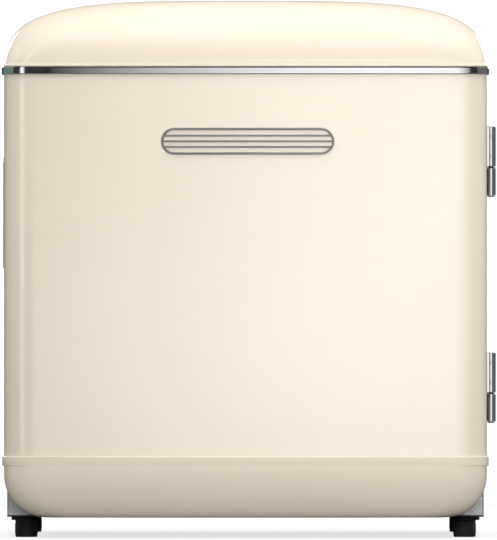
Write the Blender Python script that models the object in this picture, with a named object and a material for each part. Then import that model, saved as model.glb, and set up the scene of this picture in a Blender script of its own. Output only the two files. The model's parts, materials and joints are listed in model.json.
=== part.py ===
"""Retro table-top mini fridge: domed cream door and top on a light grey steel cabinet.

The pieces are drawn in fridge coordinates, in metres: x = 0 is the middle of the door, y = 0 is the
front plane of the cabinet, z = 0 is the floor, and the door is on the -Y side. The empty "fridge"
then moves everything so that the middle of the whole object's footprint is the world origin.
"""
from math import atan2, cos, pi, sin, sqrt

import bmesh
import bpy

# ---- driving dimensions, metres ------------------------------------------------------------------
DOOR_WIDTH = 0.445
DOOR_DEPTH = 0.065            # back edge of the shell to the middle of the front face
TOP_HEIGHT = 0.496            # floor to crest of the door
FLOOR_CLEARANCE = 0.019       # floor to the underside of door and cabinet
CABINET_DEPTH = 0.375
DOOR_GAP = 0.010              # door shell to cabinet front, filled by the gasket
DOOR_OVERHANG = 0.002         # how far the door's outline stands outside the cabinet's

DOME_RISE = 0.079             # height of the superellipse arch over its springing line
DOME_POWER = 3.8              # exponent of that superellipse
DOME_FLAT = 0.12              # share of the half width that is level at the crest
CREST_DEPTH = 0.008           # how thick the door still is at its crest
DOME_SPREAD = 0.75            # at the crest: the edge's rounding as a share of the half width
DOME_BODY = 0.8               # and of the depth
LOWER_CORNER = 0.039          # radius of the door's lower corners
FRONT_EDGE = 0.030            # upright front edges rounding over: across the face, and back
FRONT_EDGE_DEPTH = 0.015
FRONT_CROWN = 0.008           # how far the middle of the face stands in front of its edges
ROLL_HEIGHT = 0.049           # lower edge rolling under: height, depth and how slowly it starts
ROLL_DEPTH = 0.018
ROLL_POWER = 1.7

BAND_RISE = 0.0105            # lower edge of the chrome band above the arch's springing line
BAND_HEIGHT = 0.0072
BAND_PROUD = 0.0021
RIB_RISE = 0.0492             # moulded rib above the door's lower edge
RIB_HEIGHT = 0.0092
RIB_PROUD = 0.0017
RIB_BEVEL = 0.001

SHELL_WALL = 0.002
SHEET = 0.0008                # cabinet sheet steel
PANEL_FLANGE = 0.014          # side panel's return behind the back panel
BASE_SHEET = 0.0012
COVER_WALL = 0.0025           # moulded top cover
LINER_WALL = 0.0015
SIDE_FOAM = 0.038             # insulation at the sides, floor and back
TOP_FOAM = 0.053
STEP_FOAM = 0.028             # insulation over the compressor bay
LINER_ROUND = 0.012
FIT = 0.0003                  # gap between pieces that touch
RUN = 0.0006                  # gap beside a piece that slides or turns
LOOSE = 0.001                 # gap round a piece that lifts out
PAST = 0.01                   # how far a cutter runs past the surface it cuts

BAY_CLEAR = 0.0094            # compressor bay: room round the pot's weld and above the pan
BAY_HEADROOM = 0.0269

HINGE_OUT = 0.0045            # hinge axis outside the door's side
KNUCKLE_RADIUS = 0.0044
PIN_RADIUS = 0.0022
PIN_CLEAR = 0.0004
PIN_HEAD = 0.0033
HINGE_RISE = 0.0882           # lower hinge above the door's lower edge
HINGE_DROP = 0.1162           # upper hinge's top end below the crest
CABINET_KNUCKLE = 0.0255
DOOR_KNUCKLE = 0.0382
WASHER = 0.001
LEAF = 0.0032
LEAF_REACH = 0.027            # from the axis to the far edge of a leaf

GASKET_WIDTH = 0.016
GASKET_ROUND = 0.028

FOOT_SIDE = 0.0175            # centres of the feet inside the cabinet's sides
FOOT_INSET = 0.030            # feet behind the cabinet's front and ahead of its back
FOOT_RADIUS = 0.01025
FOOT_FLANGE = 0.014
FOOT_FLANGE_THICK = 0.003
STUD_RADIUS = 0.004
STUD_LENGTH = 0.026
SOCKET_WALL = 0.004

FREEZER_HEIGHT = 0.096
FREEZER_FRONT = 0.104         # behind the cabinet's front, so that its flap can swing up
FREEZER_BACK_GAP = 0.0315      # behind the freezer box
FREEZER_WALL = 0.0016
FREEZER_DROP = 0.006          # below the ceiling
FREEZER_SIDE_GAP = 0.010
HOUSING_GAP = 0.034           # between freezer box and thermostat housing
FLAP_THICK = 0.007
FLAP_PIN_RADIUS = 0.002
FLAP_BRACKET = 0.005

TRAY_HEIGHT = 0.020
TRAY_WALL = 0.0018
RAIL_DROP = 0.024
RAIL_LIP = 0.007
RAIL_SHEET = 0.0015

HOUSING_WIDTH = 0.066
HOUSING_DEPTH = 0.078
HOUSING_HEIGHT = 0.060
KNOB_RADIUS = 0.018
KNOB_LENGTH = 0.015
KNOB_SKIRT = 0.003
KNOB_NECK = 0.8               # grip of the knob to its skirt, behind and at its end
KNOB_END = 0.76

SHELF_THICK = 0.004
SHELF_FRONT = 0.082
LEDGE = 0.009
LEDGE_HEIGHT = 0.006
LEDGE_PITCH = 0.055           # second pair of ledges above the first
TRIM_WALL = 0.002             # trim along the shelf's front edge
TRIM_UNDER = 0.006
TRIM_OVER = 0.010

DYKE_WIDTH = 0.014            # upright ridges on the door liner that carry the racks
DYKE_REACH = 0.036
DYKE_RISE = 0.025             # lower end above the cabinet's inner floor
DYKE_DROP = 0.017             # upper end below the freezer box
DYKE_SIDE_GAP = 0.014         # between a ridge and the cabinet's inner wall
RACK_WALL = 0.0022
BOTTLE_RACK_RISE = 0.006      # floor of the lower rack above the ridges' lower end
UPPER_RACK_DROP = 0.086       # floor of the upper rack below the ridges' upper end
BOTTLE_RACK = (0.050, 0.066)  # wall height, depth
UPPER_RACK = (0.040, 0.052)
BAR_RISE = 0.022              # top of a rack's bar above the rim
BAR_RADIUS = 0.0022
BAR_BEND = 0.008

GRIP_HEIGHT = 0.092           # finger recess in the door's left side
GRIP_DEPTH = 0.024
GRIP_REACH = 0.030
GRIP_WALL = 0.002
GRIP_FLANGE = 0.005
GRIP_DROP = 0.196             # middle of the recess below the crest
GRIP_BACK = 0.0375            # and in front of the cabinet's front plane

BADGE_LENGTH = 0.163
BADGE_HEIGHT = 0.0246
BADGE_SHIFT = 0.002           # right of the door's middle
BADGE_DROP = 0.1302           # below the crest
BADGE_THICK = 0.0014

CONDENSER_STANDOFF = 0.014
CONDENSER_TUBE = 0.0024
CONDENSER_PASSES = 7            # odd, so that the coil ends on the compressor's side
CONDENSER_PITCH = 0.032
CONDENSER_LEAD = 0.012          # bend radius of the coil's two leads
CONDENSER_SIDE = 0.0555       # its passes end this far inside the cabinet's sides
BRACKET_SPREAD = 0.110        # brackets left and right of the middle
SPACER_REACH = 0.022          # the brackets' ends keep the coil off the wall
CONDENSER_RISE = 0.022        # lowest pass above the compressor bay
LEAD_DROP = 0.018             # straight stretch of the leads under their bends
BRACKET_DROP = 0.014          # bracket's lower end below the lowest pass
BRACKET_WIDTH = 0.012
BRACKET_FOOT = 0.006
BRACKET_STRIP = 0.0025

COMPRESSOR_RADIUS = 0.052
COMPRESSOR_HEIGHT = 0.112
COMPRESSOR_X = 0.060
WELD_FLANGE = 1.05            # radius of the pot's weld to the pot's own
WELD_RISE = 0.55              # its place up the pot
WELD_THICK = 0.003
FOOT_PLATE = 0.0032           # plate under the pot, and its edge past the grommets
FOOT_PLATE_EDGE = 0.012
GROMMET_BORE = 0.004
GROMMET_RADIUS = 0.010
TERMINAL_DEPTH = 0.028        # terminal cover: out from the pot, along its side, and its height
TERMINAL_WIDTH = 0.040
TERMINAL_HEIGHT = 0.048
TERMINAL_RISE = 0.030         # above the pot's foot
TERMINAL_GAP = 0.0004         # between the weld and the terminal cover
GROMMET_HEIGHT = 0.010
GROMMET_SPREAD = (0.118, 0.076)
PAN_SIZE = (0.120, 0.090)
PAN_HEIGHT = 0.014
PAN_WALL = 0.002
DRIER_BACK = 0.030            # behind the drier, to the cabinet's back
DRIER_RADIUS = 0.009
DRIER_LENGTH = 0.090
DRIER_NECK = 0.003
DRIER_TAPER = 0.010
SUCTION_RADIUS = 0.0032       # suction tube, its bend, and how it stands off the pot
SUCTION_BEND = 0.016
SUCTION_GAP = 0.004
SUCTION_RUN = 0.030
SUCTION_RISE = 0.050          # above the pot's foot
CORD_SIDE = 0.0705            # cord bracket's middle inside the cabinet's right side
CORD_INSET = 0.006            # and its face ahead of the cabinet's back
CORD_BRACKET = (0.036, 0.016, 0.036)    # width, foot, height
CORD_SHEET = 0.002
CORD_RISE = 0.021             # middle of the gland above the bracket's foot
GLAND_NECK = 0.0075           # gland: radii of neck, collar, end and bore
GLAND_COLLAR = 0.0095
GLAND_END = 0.007
GLAND_BORE = 0.0038
GLAND_REACH = 0.009
GLAND_COLLAR_REACH = 0.003
GLAND_TAIL = 0.004

SMOOTH = 16                   # sides of a round piece
DOME_STEPS = 13               # points up the arch, and round an upright edge of the door
EDGE_STEPS = 6

# ---- sizes worked out from them ------------------------------------------------------------------
DOOR_HALF = DOOR_WIDTH / 2
DOME_SPRING = TOP_HEIGHT - DOME_RISE
BAND_LOW = DOME_SPRING + BAND_RISE
CABINET_HALF = DOOR_HALF - DOOR_OVERHANG
CABINET_TOP = TOP_HEIGHT - DOOR_OVERHANG
BODY_BOTTOM = FLOOR_CLEARANCE
RIB_LOW = BODY_BOTTOM + RIB_RISE
HINGE_HEIGHT = CABINET_KNUCKLE + DOOR_KNUCKLE
HINGE_LOW = (BODY_BOTTOM + HINGE_RISE, TOP_HEIGHT - HINGE_DROP - HINGE_HEIGHT)
GRIP_MIDDLE = TOP_HEIGHT - GRIP_DROP
BADGE_MIDDLE = TOP_HEIGHT - BADGE_DROP
SEAM = BAND_LOW
INNER_HALF = CABINET_HALF - SIDE_FOAM - LINER_WALL
INNER_FLOOR = BODY_BOTTOM + SIDE_FOAM
INNER_TOP = CABINET_TOP - TOP_FOAM
INNER_BACK = CABINET_DEPTH - SIDE_FOAM - LINER_WALL
COMPRESSOR_LOW = BODY_BOTTOM + BASE_SHEET + GROMMET_HEIGHT + 2 * FIT
PAN_LOW = COMPRESSOR_LOW + COMPRESSOR_HEIGHT + FIT
BAY_DEPTH = 2 * (COMPRESSOR_RADIUS * WELD_FLANGE + BAY_CLEAR)
BAY_FRONT = CABINET_DEPTH - BAY_DEPTH
BAY_TOP = PAN_LOW + PAN_HEIGHT + BAY_HEADROOM
STEP_FRONT = BAY_FRONT - STEP_FOAM - LINER_WALL
STEP_TOP = BAY_TOP + STEP_FOAM + LINER_WALL
HINGE_X = DOOR_HALF + HINGE_OUT
HINGE_Y = -DOOR_GAP / 2
FACE_Y = -DOOR_GAP - DOOR_DEPTH
LEFT_EDGE = -DOOR_HALF - BAND_PROUD
RIGHT_EDGE = HINGE_X + KNUCKLE_RADIUS
FRONT_END = FACE_Y - BAND_PROUD
BACK_END = CABINET_DEPTH + SPACER_REACH
MIDDLE = (-(LEFT_EDGE + RIGHT_EDGE) / 2, -(FRONT_END + BACK_END) / 2, 0.0)
HOUSING_RIGHT = INNER_HALF - LINER_ROUND
FREEZER_LEFT = -INNER_HALF + FREEZER_SIDE_GAP
FREEZER_RIGHT = HOUSING_RIGHT - HOUSING_WIDTH - HOUSING_GAP
FREEZER_BACK = INNER_BACK - FREEZER_BACK_GAP
FREEZER_TOP = INNER_TOP - FREEZER_DROP
FREEZER_BOTTOM = FREEZER_TOP - FREEZER_HEIGHT
FLAP_Y = FREEZER_FRONT - RUN - FLAP_THICK / 2
FLAP_Z = FREEZER_TOP - FLAP_THICK / 2
SHELF_LOW = STEP_TOP + FIT
KNOB_X = HOUSING_RIGHT - HOUSING_WIDTH / 2
KNOB_Z = INNER_TOP - FIT - HOUSING_HEIGHT / 2
DYKE_OUTER = INNER_HALF - DYKE_SIDE_GAP
DYKE_LOW = INNER_FLOOR + DYKE_RISE
DYKE_HIGH = FREEZER_BOTTOM - DYKE_DROP
BOTTLE_RACK_LOW = DYKE_LOW + BOTTLE_RACK_RISE
UPPER_RACK_LOW = DYKE_HIGH - UPPER_RACK_DROP
RACK_HALF = DYKE_OUTER - DYKE_WIDTH - LOOSE
COMPRESSOR_Y = CABINET_DEPTH - BAY_DEPTH / 2
CONDENSER_LOW = BAY_TOP + CONDENSER_RISE
CONDENSER_HALF = CABINET_HALF - CONDENSER_SIDE

# ---- colours (linear) and finishes: colour, roughness, metallic ------------------------------------
CREAM = ((0.86, 0.80, 0.67), 0.22, 0.0)
CREAM_TOP = ((0.86, 0.80, 0.67), 0.25, 0.0)
GREY_STEEL = ((0.60, 0.61, 0.61), 0.45, 0.2)
WHITE = ((0.85, 0.86, 0.86), 0.35, 0.0)
FOAM = ((0.80, 0.72, 0.45), 0.95, 0.0)
CHROME = ((0.80, 0.80, 0.82), 0.08, 1.0)
SATIN = ((0.32, 0.32, 0.33), 0.4, 0.8)
BLACK = ((0.02, 0.02, 0.02), 0.6, 0.0)
BLACK_METAL = ((0.03, 0.03, 0.03), 0.4, 0.5)
RUBBER = ((0.03, 0.03, 0.03), 0.8, 0.0)
GASKET = ((0.72, 0.72, 0.70), 0.6, 0.0)
ALUMINIUM = ((0.75, 0.76, 0.77), 0.35, 1.0)
ZINC = ((0.62, 0.62, 0.60), 0.35, 1.0)
COPPER = ((0.72, 0.34, 0.18), 0.3, 1.0)
GLASS = ((0.80, 0.92, 0.90), 0.05, 0.0)
FROST = ((0.80, 0.88, 0.92), 0.3, 0.0)


# ---- making objects --------------------------------------------------------------------------------
def finish(name, look):
    """A plain material of the piece's own."""
    colour, roughness, metallic = look
    material = bpy.data.materials.new(name)
    material.use_nodes = True
    shader = material.node_tree.nodes["Principled BSDF"]
    shader.inputs["Base Color"].default_value = (*colour, 1.0)
    shader.inputs["Roughness"].default_value = roughness
    shader.inputs["Metallic"].default_value = metallic
    return material


def pivot(name, place, parent=None):
    """An empty on a joint's axis, or the one that carries the whole fridge."""
    empty = bpy.data.objects.new(name, None)
    empty.location = place
    empty.empty_display_size = 0.02
    empty.parent = parent
    bpy.context.collection.objects.link(empty)
    return empty


def seat(piece, carrier):
    """Hangs a piece drawn in fridge coordinates on its carrier, without moving it."""
    piece.parent = carrier
    if carrier.parent:
        piece.location = [-c for c in carrier.location]
    bpy.context.collection.objects.link(piece)


def add(name, bm, look, carrier, sharp=0.6):
    """Turns a bmesh into a named piece, smooth where its faces meet at less than the sharp angle."""
    bmesh.ops.recalc_face_normals(bm, faces=bm.faces)
    mesh = bpy.data.meshes.new(name)
    bm.to_mesh(mesh)
    bm.free()
    mesh.shade_smooth()
    mesh.set_sharp_from_angle(angle=sharp)
    piece = bpy.data.objects.new(name, mesh)
    mesh.materials.append(finish(name, look))
    seat(piece, carrier)
    return piece


def shape(piece, bm, operation="DIFFERENCE"):
    """Cuts a solid away from a piece, or joins it on; the tool it returns can be shaped as well."""
    tool = add(f"{piece.name}_tool_{len(piece.modifiers)}", bm, BLACK, piece.parent)
    tool.hide_render = True
    tool.display_type = "WIRE"
    step = piece.modifiers.new(operation.lower(), "BOOLEAN")
    step.operation = operation
    step.solver = "EXACT"
    step.object = tool
    return tool


def rod(name, points, radius, look, carrier, sides=2):
    """A round bar or tube bent along a list of points."""
    curve = bpy.data.curves.new(name, "CURVE")
    curve.dimensions = "3D"
    spline = curve.splines.new("POLY")
    spline.points.add(len(points) - 1)
    for point, place in zip(spline.points, points):
        point.co = (*place, 1.0)
    curve.bevel_depth = radius
    curve.bevel_resolution = sides
    curve.use_fill_caps = True
    curve.materials.append(finish(name, look))
    piece = bpy.data.objects.new(name, curve)
    seat(piece, carrier)


# ---- solids ----------------------------------------------------------------------------------------
def loft(rings, bm=None):
    """A closed solid through rings of equally many points, capped at both ends."""
    bm = bm or bmesh.new()
    grid = [[bm.verts.new(point) for point in ring] for ring in rings]
    for low, high in zip(grid, grid[1:]):
        for k, vert in enumerate(low):
            after = (k + 1) % len(low)
            bm.faces.new((vert, low[after], high[after], high[k]))
    bm.faces.new(grid[0])
    bm.faces.new(grid[-1])
    return bm


def lift(axis, a, b, level):
    """A point of a flat drawing, placed at a level along the axis square to it."""
    return {"X": (level, a, b), "Y": (a, level, b), "Z": (a, b, level)}[axis]


def prism(outline, axis, low, high):
    """A flat outline drawn out along an axis."""
    return loft([[lift(axis, a, b, level) for a, b in outline] for level in (low, high)])


def box(low, high):
    (x0, y0, z0), (x1, y1, z1) = low, high
    return prism([(x0, y0), (x1, y0), (x1, y1), (x0, y1)], "Z", z0, z1)


def circle(radius, x=0.0, y=0.0, count=SMOOTH):
    return [(x + radius * cos(2 * pi * k / count), y + radius * sin(2 * pi * k / count))
            for k in range(count)]


def cylinder(x, y, radius, low, high, axis="Z"):
    return prism(circle(radius, x, y), axis, low, high)


def turned(profile, x, y):
    """A solid of revolution about an upright axis, from (radius, height) pairs."""
    return loft([[(px, py, height) for px, py in circle(radius, x, y)] for radius, height in profile])


def hollow(outer, inner, axis, low, high):
    """A ring between two outlines with equally many points, drawn out along an axis."""
    bm = bmesh.new()
    loops = [[bm.verts.new(lift(axis, a, b, level)) for a, b in outline]
             for outline, level in ((outer, low), (outer, high), (inner, high), (inner, low))]
    for one, two in zip(loops, loops[1:] + loops[:1]):
        for k, vert in enumerate(one):
            after = (k + 1) % len(one)
            bm.faces.new((vert, one[after], two[after], two[k]))
    return bm


def tube(x, y, inner, outer, low, high):
    return hollow(circle(outer, x, y), circle(inner, x, y), "Z", low, high)


def rounded(half, low, high, radius, steps=5):
    """A rectangle centred on the first axis, with round corners."""
    points = []
    for cx, cy, start in ((half - radius, low + radius, -90), (half - radius, high - radius, 0),
                          (radius - half, high - radius, 90), (radius - half, low + radius, 180)):
        for k in range(steps + 1):
            angle = (start + 90 * k / steps) * pi / 180
            points.append((cx + radius * cos(angle), cy + radius * sin(angle)))
    return points


# ---- the outline that door and cabinet share -------------------------------------------------------
def dome_half(height, half, rise):
    """Half width of the arch at a height over its springing line."""
    return half * (1 - min(height / rise, 1.0) ** DOME_POWER) ** (1 / DOME_POWER)


def arch(half, rise, start, steps=DOME_STEPS):
    """Right half of the arch as (x, z), from a height over the springing line up to the crest's edge."""
    fine = 400
    first = (start / rise) ** (DOME_POWER / 2)
    angles = [first + (pi / 2 - first) * k / fine for k in range(fine + 1)]
    curve = [(half * max(cos(a), 0.0) ** (2 / DOME_POWER), rise * sin(a) ** (2 / DOME_POWER)) for a in angles]
    curve[0] = (dome_half(start, half, rise), start)
    curve = [p for p in curve if p[0] >= half * DOME_FLAT]
    length = [0.0]
    for one, two in zip(curve, curve[1:]):
        length.append(length[-1] + sqrt((two[0] - one[0]) ** 2 + (two[1] - one[1]) ** 2))
    picked = []
    for k in range(steps + 1):
        target = length[-1] * k / steps
        index = min(range(len(length)), key=lambda i: abs(length[i] - target))
        picked.append((curve[index][0], DOME_SPRING + curve[index][1]))
    return picked


def cabinet_arch(inset, low=SEAM):
    """The cabinet's arch, right half, a given distance inside its outer skin."""
    drop = DOOR_OVERHANG + inset
    return arch(CABINET_HALF - inset, DOME_RISE - drop, low - DOME_SPRING)


def both_sides(right):
    """A closed outline from its right half."""
    return right + [(-x, z) for x, z in reversed(right)]


# ---- door ------------------------------------------------------------------------------------------
def door_levels(inset):
    """Heights up the door, each with half width, depth and how far up the dome's roll it is."""
    levels = []
    corner = LOWER_CORNER - inset
    for k in range(7):
        angle = pi / 2 * k / 6
        z = BODY_BOTTOM + LOWER_CORNER - corner * cos(angle)
        levels.append((z, DOOR_HALF - LOWER_CORNER + corner * sin(angle), 0.0))
    rib_top = RIB_LOW + RIB_HEIGHT
    proud = RIB_PROUD if inset == 0 else -inset
    for z, out in ((RIB_LOW, -inset), (RIB_LOW + RIB_BEVEL, proud),
                   (rib_top - RIB_BEVEL, proud), (rib_top, -inset)):
        levels.append((z, DOOR_HALF + out, out))
    for x, z in arch(DOOR_HALF - inset, DOME_RISE - inset, 0.0):
        levels.append((z, x, -inset))
    return [(z, half, *door_depth(z, inset, out)) for z, half, out in levels]


def door_depth(z, inset, out):
    """Depth of the door at a height, and the share of the dome's roll that has been climbed."""
    roll_middle = BODY_BOTTOM + ROLL_HEIGHT
    dome_start = BAND_LOW + BAND_HEIGHT
    if z < roll_middle:
        share = min((roll_middle - z) / (ROLL_HEIGHT - inset), 1.0)
        rolled = (1 - share ** ROLL_POWER) ** (1 / ROLL_POWER)
        return DOOR_DEPTH - ROLL_DEPTH + (ROLL_DEPTH - inset) * rolled, 0.0
    if z <= dome_start:
        return DOOR_DEPTH + (out if out > 0 else -inset), 0.0
    share = min((z - dome_start) / (TOP_HEIGHT - inset - dome_start), 1.0)
    return CREST_DEPTH - inset + (DOOR_DEPTH - CREST_DEPTH) * sqrt(1 - share ** 2), share


def door_section(half, depth, climb, inset=0.0, start=0.0):
    """Plan of the door at one height, from its right back edge round the front to its left."""
    across, back = FRONT_EDGE - inset, FRONT_EDGE_DEPTH - inset
    corner_x = across + (DOME_SPREAD * half - across) * climb ** 2
    corner_y = min(back + (DOME_BODY * depth - back) * climb, DOME_BODY * (depth - start))
    crown = FRONT_CROWN * depth / DOOR_DEPTH
    right = [(half, start)]
    for k in range(EDGE_STEPS + 1):
        angle = pi / 2 * k / EDGE_STEPS
        right.append((half - corner_x + corner_x * cos(angle), depth - corner_y + corner_y * sin(angle)))
    flat = half - corner_x
    right += [(flat * (1 - k / 3), depth) for k in range(1, 3)]
    points = right + [(0.0, depth)] + [(-x, y) for x, y in reversed(right)]
    return [(x, -DOOR_GAP - y + crown * (x / half) ** 2 * (y / depth) ** 2) for x, y in points]


def door_rings(inset, start=0.0):
    return [[(x, y, z) for x, y in door_section(half, depth, climb, max(inset, 0), start)]
            for z, half, depth, climb in door_levels(inset)]


def face_y(x, proud=0.0):
    """Where the front face is, across the door's flat part."""
    return FACE_Y - proud + FRONT_CROWN * (x / DOOR_HALF) ** 2


def door_outer_shell(door):
    """Pressed skin, open at the back, with the hole for the finger recess."""
    bm = bmesh.new()
    skins = []
    for rings in (door_rings(0.0), door_rings(SHELL_WALL)):
        grid = [[bm.verts.new(point) for point in ring] for ring in rings]
        for low, high in zip(grid, grid[1:]):
            for k in range(len(low) - 1):
                bm.faces.new((low[k], low[k + 1], high[k + 1], high[k]))
        bm.faces.new(grid[0])
        bm.faces.new(grid[-1])
        skins.append([row[0] for row in grid] + [row[-1] for row in reversed(grid)])
    outer, inner = skins
    for k, vert in enumerate(outer):
        after = (k + 1) % len(outer)
        bm.faces.new((vert, outer[after], inner[after], inner[k]))
    shell = add("door_outer_shell", bm, CREAM, door)
    shape(shell, grip_block(FIT, DOOR_HALF + PAST))


def grip_block(gap, reach):
    """Block of the finger recess, a gap larger than the cup, out to a distance left of the middle."""
    return box((-reach, -GRIP_BACK - GRIP_DEPTH / 2 - gap, GRIP_MIDDLE - GRIP_HEIGHT / 2 - gap),
               (-DOOR_HALF + GRIP_REACH + gap, -GRIP_BACK + GRIP_DEPTH / 2 + gap,
                GRIP_MIDDLE + GRIP_HEIGHT / 2 + gap))


def door_foam(door):
    inset = SHELL_WALL + FIT
    foam = add("door_foam", loft(door_rings(inset, SHELL_WALL + FIT)), FOAM, door)
    shape(foam, grip_block(FIT, DOOR_HALF + PAST))


def door_inner_liner(door):
    """Back plate of the door with the upright ridges that hold the racks."""
    inset = SHELL_WALL + FIT
    outline = both_sides([(half, z) for z, half, depth, climb in door_levels(inset)])
    plate = prism(outline, "Y", -DOOR_GAP - SHELL_WALL, -DOOR_GAP)
    liner = add("door_inner_liner", plate, WHITE, door)
    for side in (-1, 1):
        edges = sorted((side * DYKE_OUTER, side * (DYKE_OUTER - DYKE_WIDTH)))
        shape(liner, box((edges[0], -DOOR_GAP - SHELL_WALL / 2, DYKE_LOW),
                         (edges[1], DYKE_REACH - DOOR_GAP, DYKE_HIGH)), "UNION")


def gasket_outline(inset):
    half = INNER_HALF + GASKET_WIDTH + 2 * LINER_WALL - inset
    low = INNER_FLOOR - GASKET_WIDTH - 2 * LINER_WALL + inset
    high = INNER_TOP + GASKET_WIDTH + 2 * LINER_WALL - inset
    return rounded(half, low, high, GASKET_ROUND - inset)


def door_gasket(door):
    ring = hollow(gasket_outline(0.0), gasket_outline(GASKET_WIDTH), "Y", FIT - DOOR_GAP, -FIT)
    add("door_gasket", ring, GASKET, door)


def chrome_band(door):
    """Strip round the door's sides and face, just under the dome."""
    rings = []
    plans = [door_section(DOOR_HALF + out, DOOR_DEPTH + out, 0.0, -out) for out in (FIT, BAND_PROUD)]
    for (ix, iy), (ox, oy) in zip(*plans):
        rings.append([(ix, iy, BAND_LOW), (ox, oy, BAND_LOW), (ox, oy, BAND_LOW + BAND_HEIGHT),
                      (ix, iy, BAND_LOW + BAND_HEIGHT)])
    add("chrome_band", loft(rings), CHROME, door)


def badge(door):
    """Plain pill-shaped plaque that follows the crown of the face."""
    end = BADGE_HEIGHT / 2
    reach = BADGE_LENGTH / 2
    angles = [pi * k / 14 for k in range(1, 14)]
    rings = []
    for angle in angles:
        along = -cos(angle)
        x = along * (reach - end) + (-end if along < 0 else end) * sqrt(1 - sin(angle) ** 6)
        over = max(abs(x) - (reach - end), 0.0)
        half = sqrt(max(end ** 2 - over ** 2, (end / 4) ** 2))
        px = BADGE_SHIFT + x
        low, high = BADGE_MIDDLE - half, BADGE_MIDDLE + half
        near, far = face_y(px, FIT), face_y(px, FIT + BADGE_THICK)
        rings.append([(px, near, low), (px, far, low), (px, far, high), (px, near, high)])
    add("badge", loft(rings), SATIN, door)


def grip_cup(door):
    """Moulded finger recess with a thin flange on the door's side."""
    middle = -GRIP_BACK
    cup = add("grip_cup", grip_block(0.0, DOOR_HALF + FIT + LINER_WALL / 2), CREAM, door)
    flange = box((-DOOR_HALF - FIT - LINER_WALL, middle - GRIP_DEPTH / 2 - GRIP_FLANGE,
                  GRIP_MIDDLE - GRIP_HEIGHT / 2 - GRIP_FLANGE),
                 (-DOOR_HALF - FIT, middle + GRIP_DEPTH / 2 + GRIP_FLANGE,
                  GRIP_MIDDLE + GRIP_HEIGHT / 2 + GRIP_FLANGE))
    shape(cup, flange, "UNION")
    pocket = box((-DOOR_HALF - PAST, middle - GRIP_DEPTH / 2 + GRIP_WALL,
                  GRIP_MIDDLE - GRIP_HEIGHT / 2 + GRIP_WALL),
                 (-DOOR_HALF + GRIP_REACH - GRIP_WALL, middle + GRIP_DEPTH / 2 - GRIP_WALL,
                  GRIP_MIDDLE + GRIP_HEIGHT / 2 - GRIP_WALL))
    shape(cup, pocket)


def rack(name, low, sizes, door):
    """Open tray between the door liner's ridges."""
    height, depth = sizes
    back = FIT - DOOR_GAP
    tray = add(name, box((-RACK_HALF, back, low), (RACK_HALF, back + depth, low + height)), FROST, door)
    shape(tray, box((-RACK_HALF + RACK_WALL, back + RACK_WALL, low + RACK_WALL),
                    (RACK_HALF - RACK_WALL, back + depth - RACK_WALL, low + height + PAST)))


def rack_bar(name, low, sizes, door):
    """Bar across the front of a rack, standing on its rim."""
    height, depth = sizes
    y = FIT - DOOR_GAP + depth - RACK_WALL / 2 - BAR_RADIUS
    foot = low + height + FIT
    top = foot + BAR_RISE
    bend = BAR_BEND
    half = RACK_HALF - 2 * BAR_RADIUS
    right = [(half, y, foot), (half, y, top - bend)]
    for k in range(1, 5):
        angle = pi / 2 * k / 4
        right.append((half - bend + bend * cos(angle), y, top - bend + bend * sin(angle)))
    rod(name, right + [(-x, py, z) for x, py, z in reversed(right)], BAR_RADIUS, CHROME, door)


# ---- hinges ----------------------------------------------------------------------------------------
def leaf_outline(near, way):
    """Plan of a hinge leaf: knuckle round the axis and a plate running forwards (-1) or back (1)."""
    far = near + LEAF
    points = [(near, way * LEAF_REACH), (far, way * LEAF_REACH)]
    start = atan2(sqrt(KNUCKLE_RADIUS ** 2 - far ** 2), far)
    for k in range(21):
        angle = start - (start + pi - 0.3) * k / 20
        points.append((KNUCKLE_RADIUS * cos(angle), way * KNUCKLE_RADIUS * sin(angle)))
    points.append((near, way * KNUCKLE_RADIUS * 0.75))
    return [(HINGE_X + x, HINGE_Y + y) for x, y in points]


def hinge(name, low, fridge, door):
    """Lift-off hinge: cabinet leaf with the pin, washer, and the door leaf above it."""
    split = low + CABINET_KNUCKLE
    upper = split + WASHER + 2 * FIT
    top = low + HINGE_HEIGHT
    bore = PIN_RADIUS + PIN_CLEAR
    fixed = add(f"{name}_cabinet_leaf",
                prism(leaf_outline(CABINET_HALF + FIT - HINGE_X, 1), "Z", low, split), CHROME, fridge)
    shape(fixed, cylinder(HINGE_X, HINGE_Y, bore, low - PAST, split + PAST))
    moving = add(f"{name}_door_leaf",
                 prism(leaf_outline(FIT - HINGE_OUT, -1), "Z", upper, top), CHROME, door)
    shape(moving, cylinder(HINGE_X, HINGE_Y, bore, upper - PAST, top + PAST))
    head = low - FIT
    pin = turned([(PIN_HEAD, head - WASHER), (PIN_HEAD, head), (PIN_RADIUS, head),
                  (PIN_RADIUS, top - WASHER)], HINGE_X, HINGE_Y)
    add(f"{name}_pin", pin, ZINC, fridge)
    add(f"{name}_washer", tube(HINGE_X, HINGE_Y, bore, KNUCKLE_RADIUS - FIT, split + FIT,
                               split + FIT + WASHER), BLACK, fridge)


# ---- cabinet ---------------------------------------------------------------------------------------
def side_panel(name, side, fridge):
    """Flat steel side with a return flange behind the back panel."""
    outer, inner = CABINET_HALF, CABINET_HALF - SHEET
    back = CABINET_DEPTH + FIT
    flange = outer - PANEL_FLANGE
    outline = [(outer, 0.0), (outer, back + SHEET), (flange, back + SHEET), (flange, back),
               (inner, back), (inner, 0.0)]
    low = BODY_BOTTOM + BASE_SHEET + FIT
    add(name, prism([(side * x, y) for x, y in outline], "Z", low, SEAM - FIT), GREY_STEEL, fridge)


def top_cover(fridge):
    """Domed cover, an arch of even thickness from the front of the cabinet to its back."""
    outer, inner = cabinet_arch(0.0), cabinet_arch(COVER_WALL)
    outline = both_sides(outer) + list(reversed(both_sides(inner)))
    add("top_cover", prism(outline, "Y", 0.0, CABINET_DEPTH + FIT + SHEET), CREAM_TOP, fridge)


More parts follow.
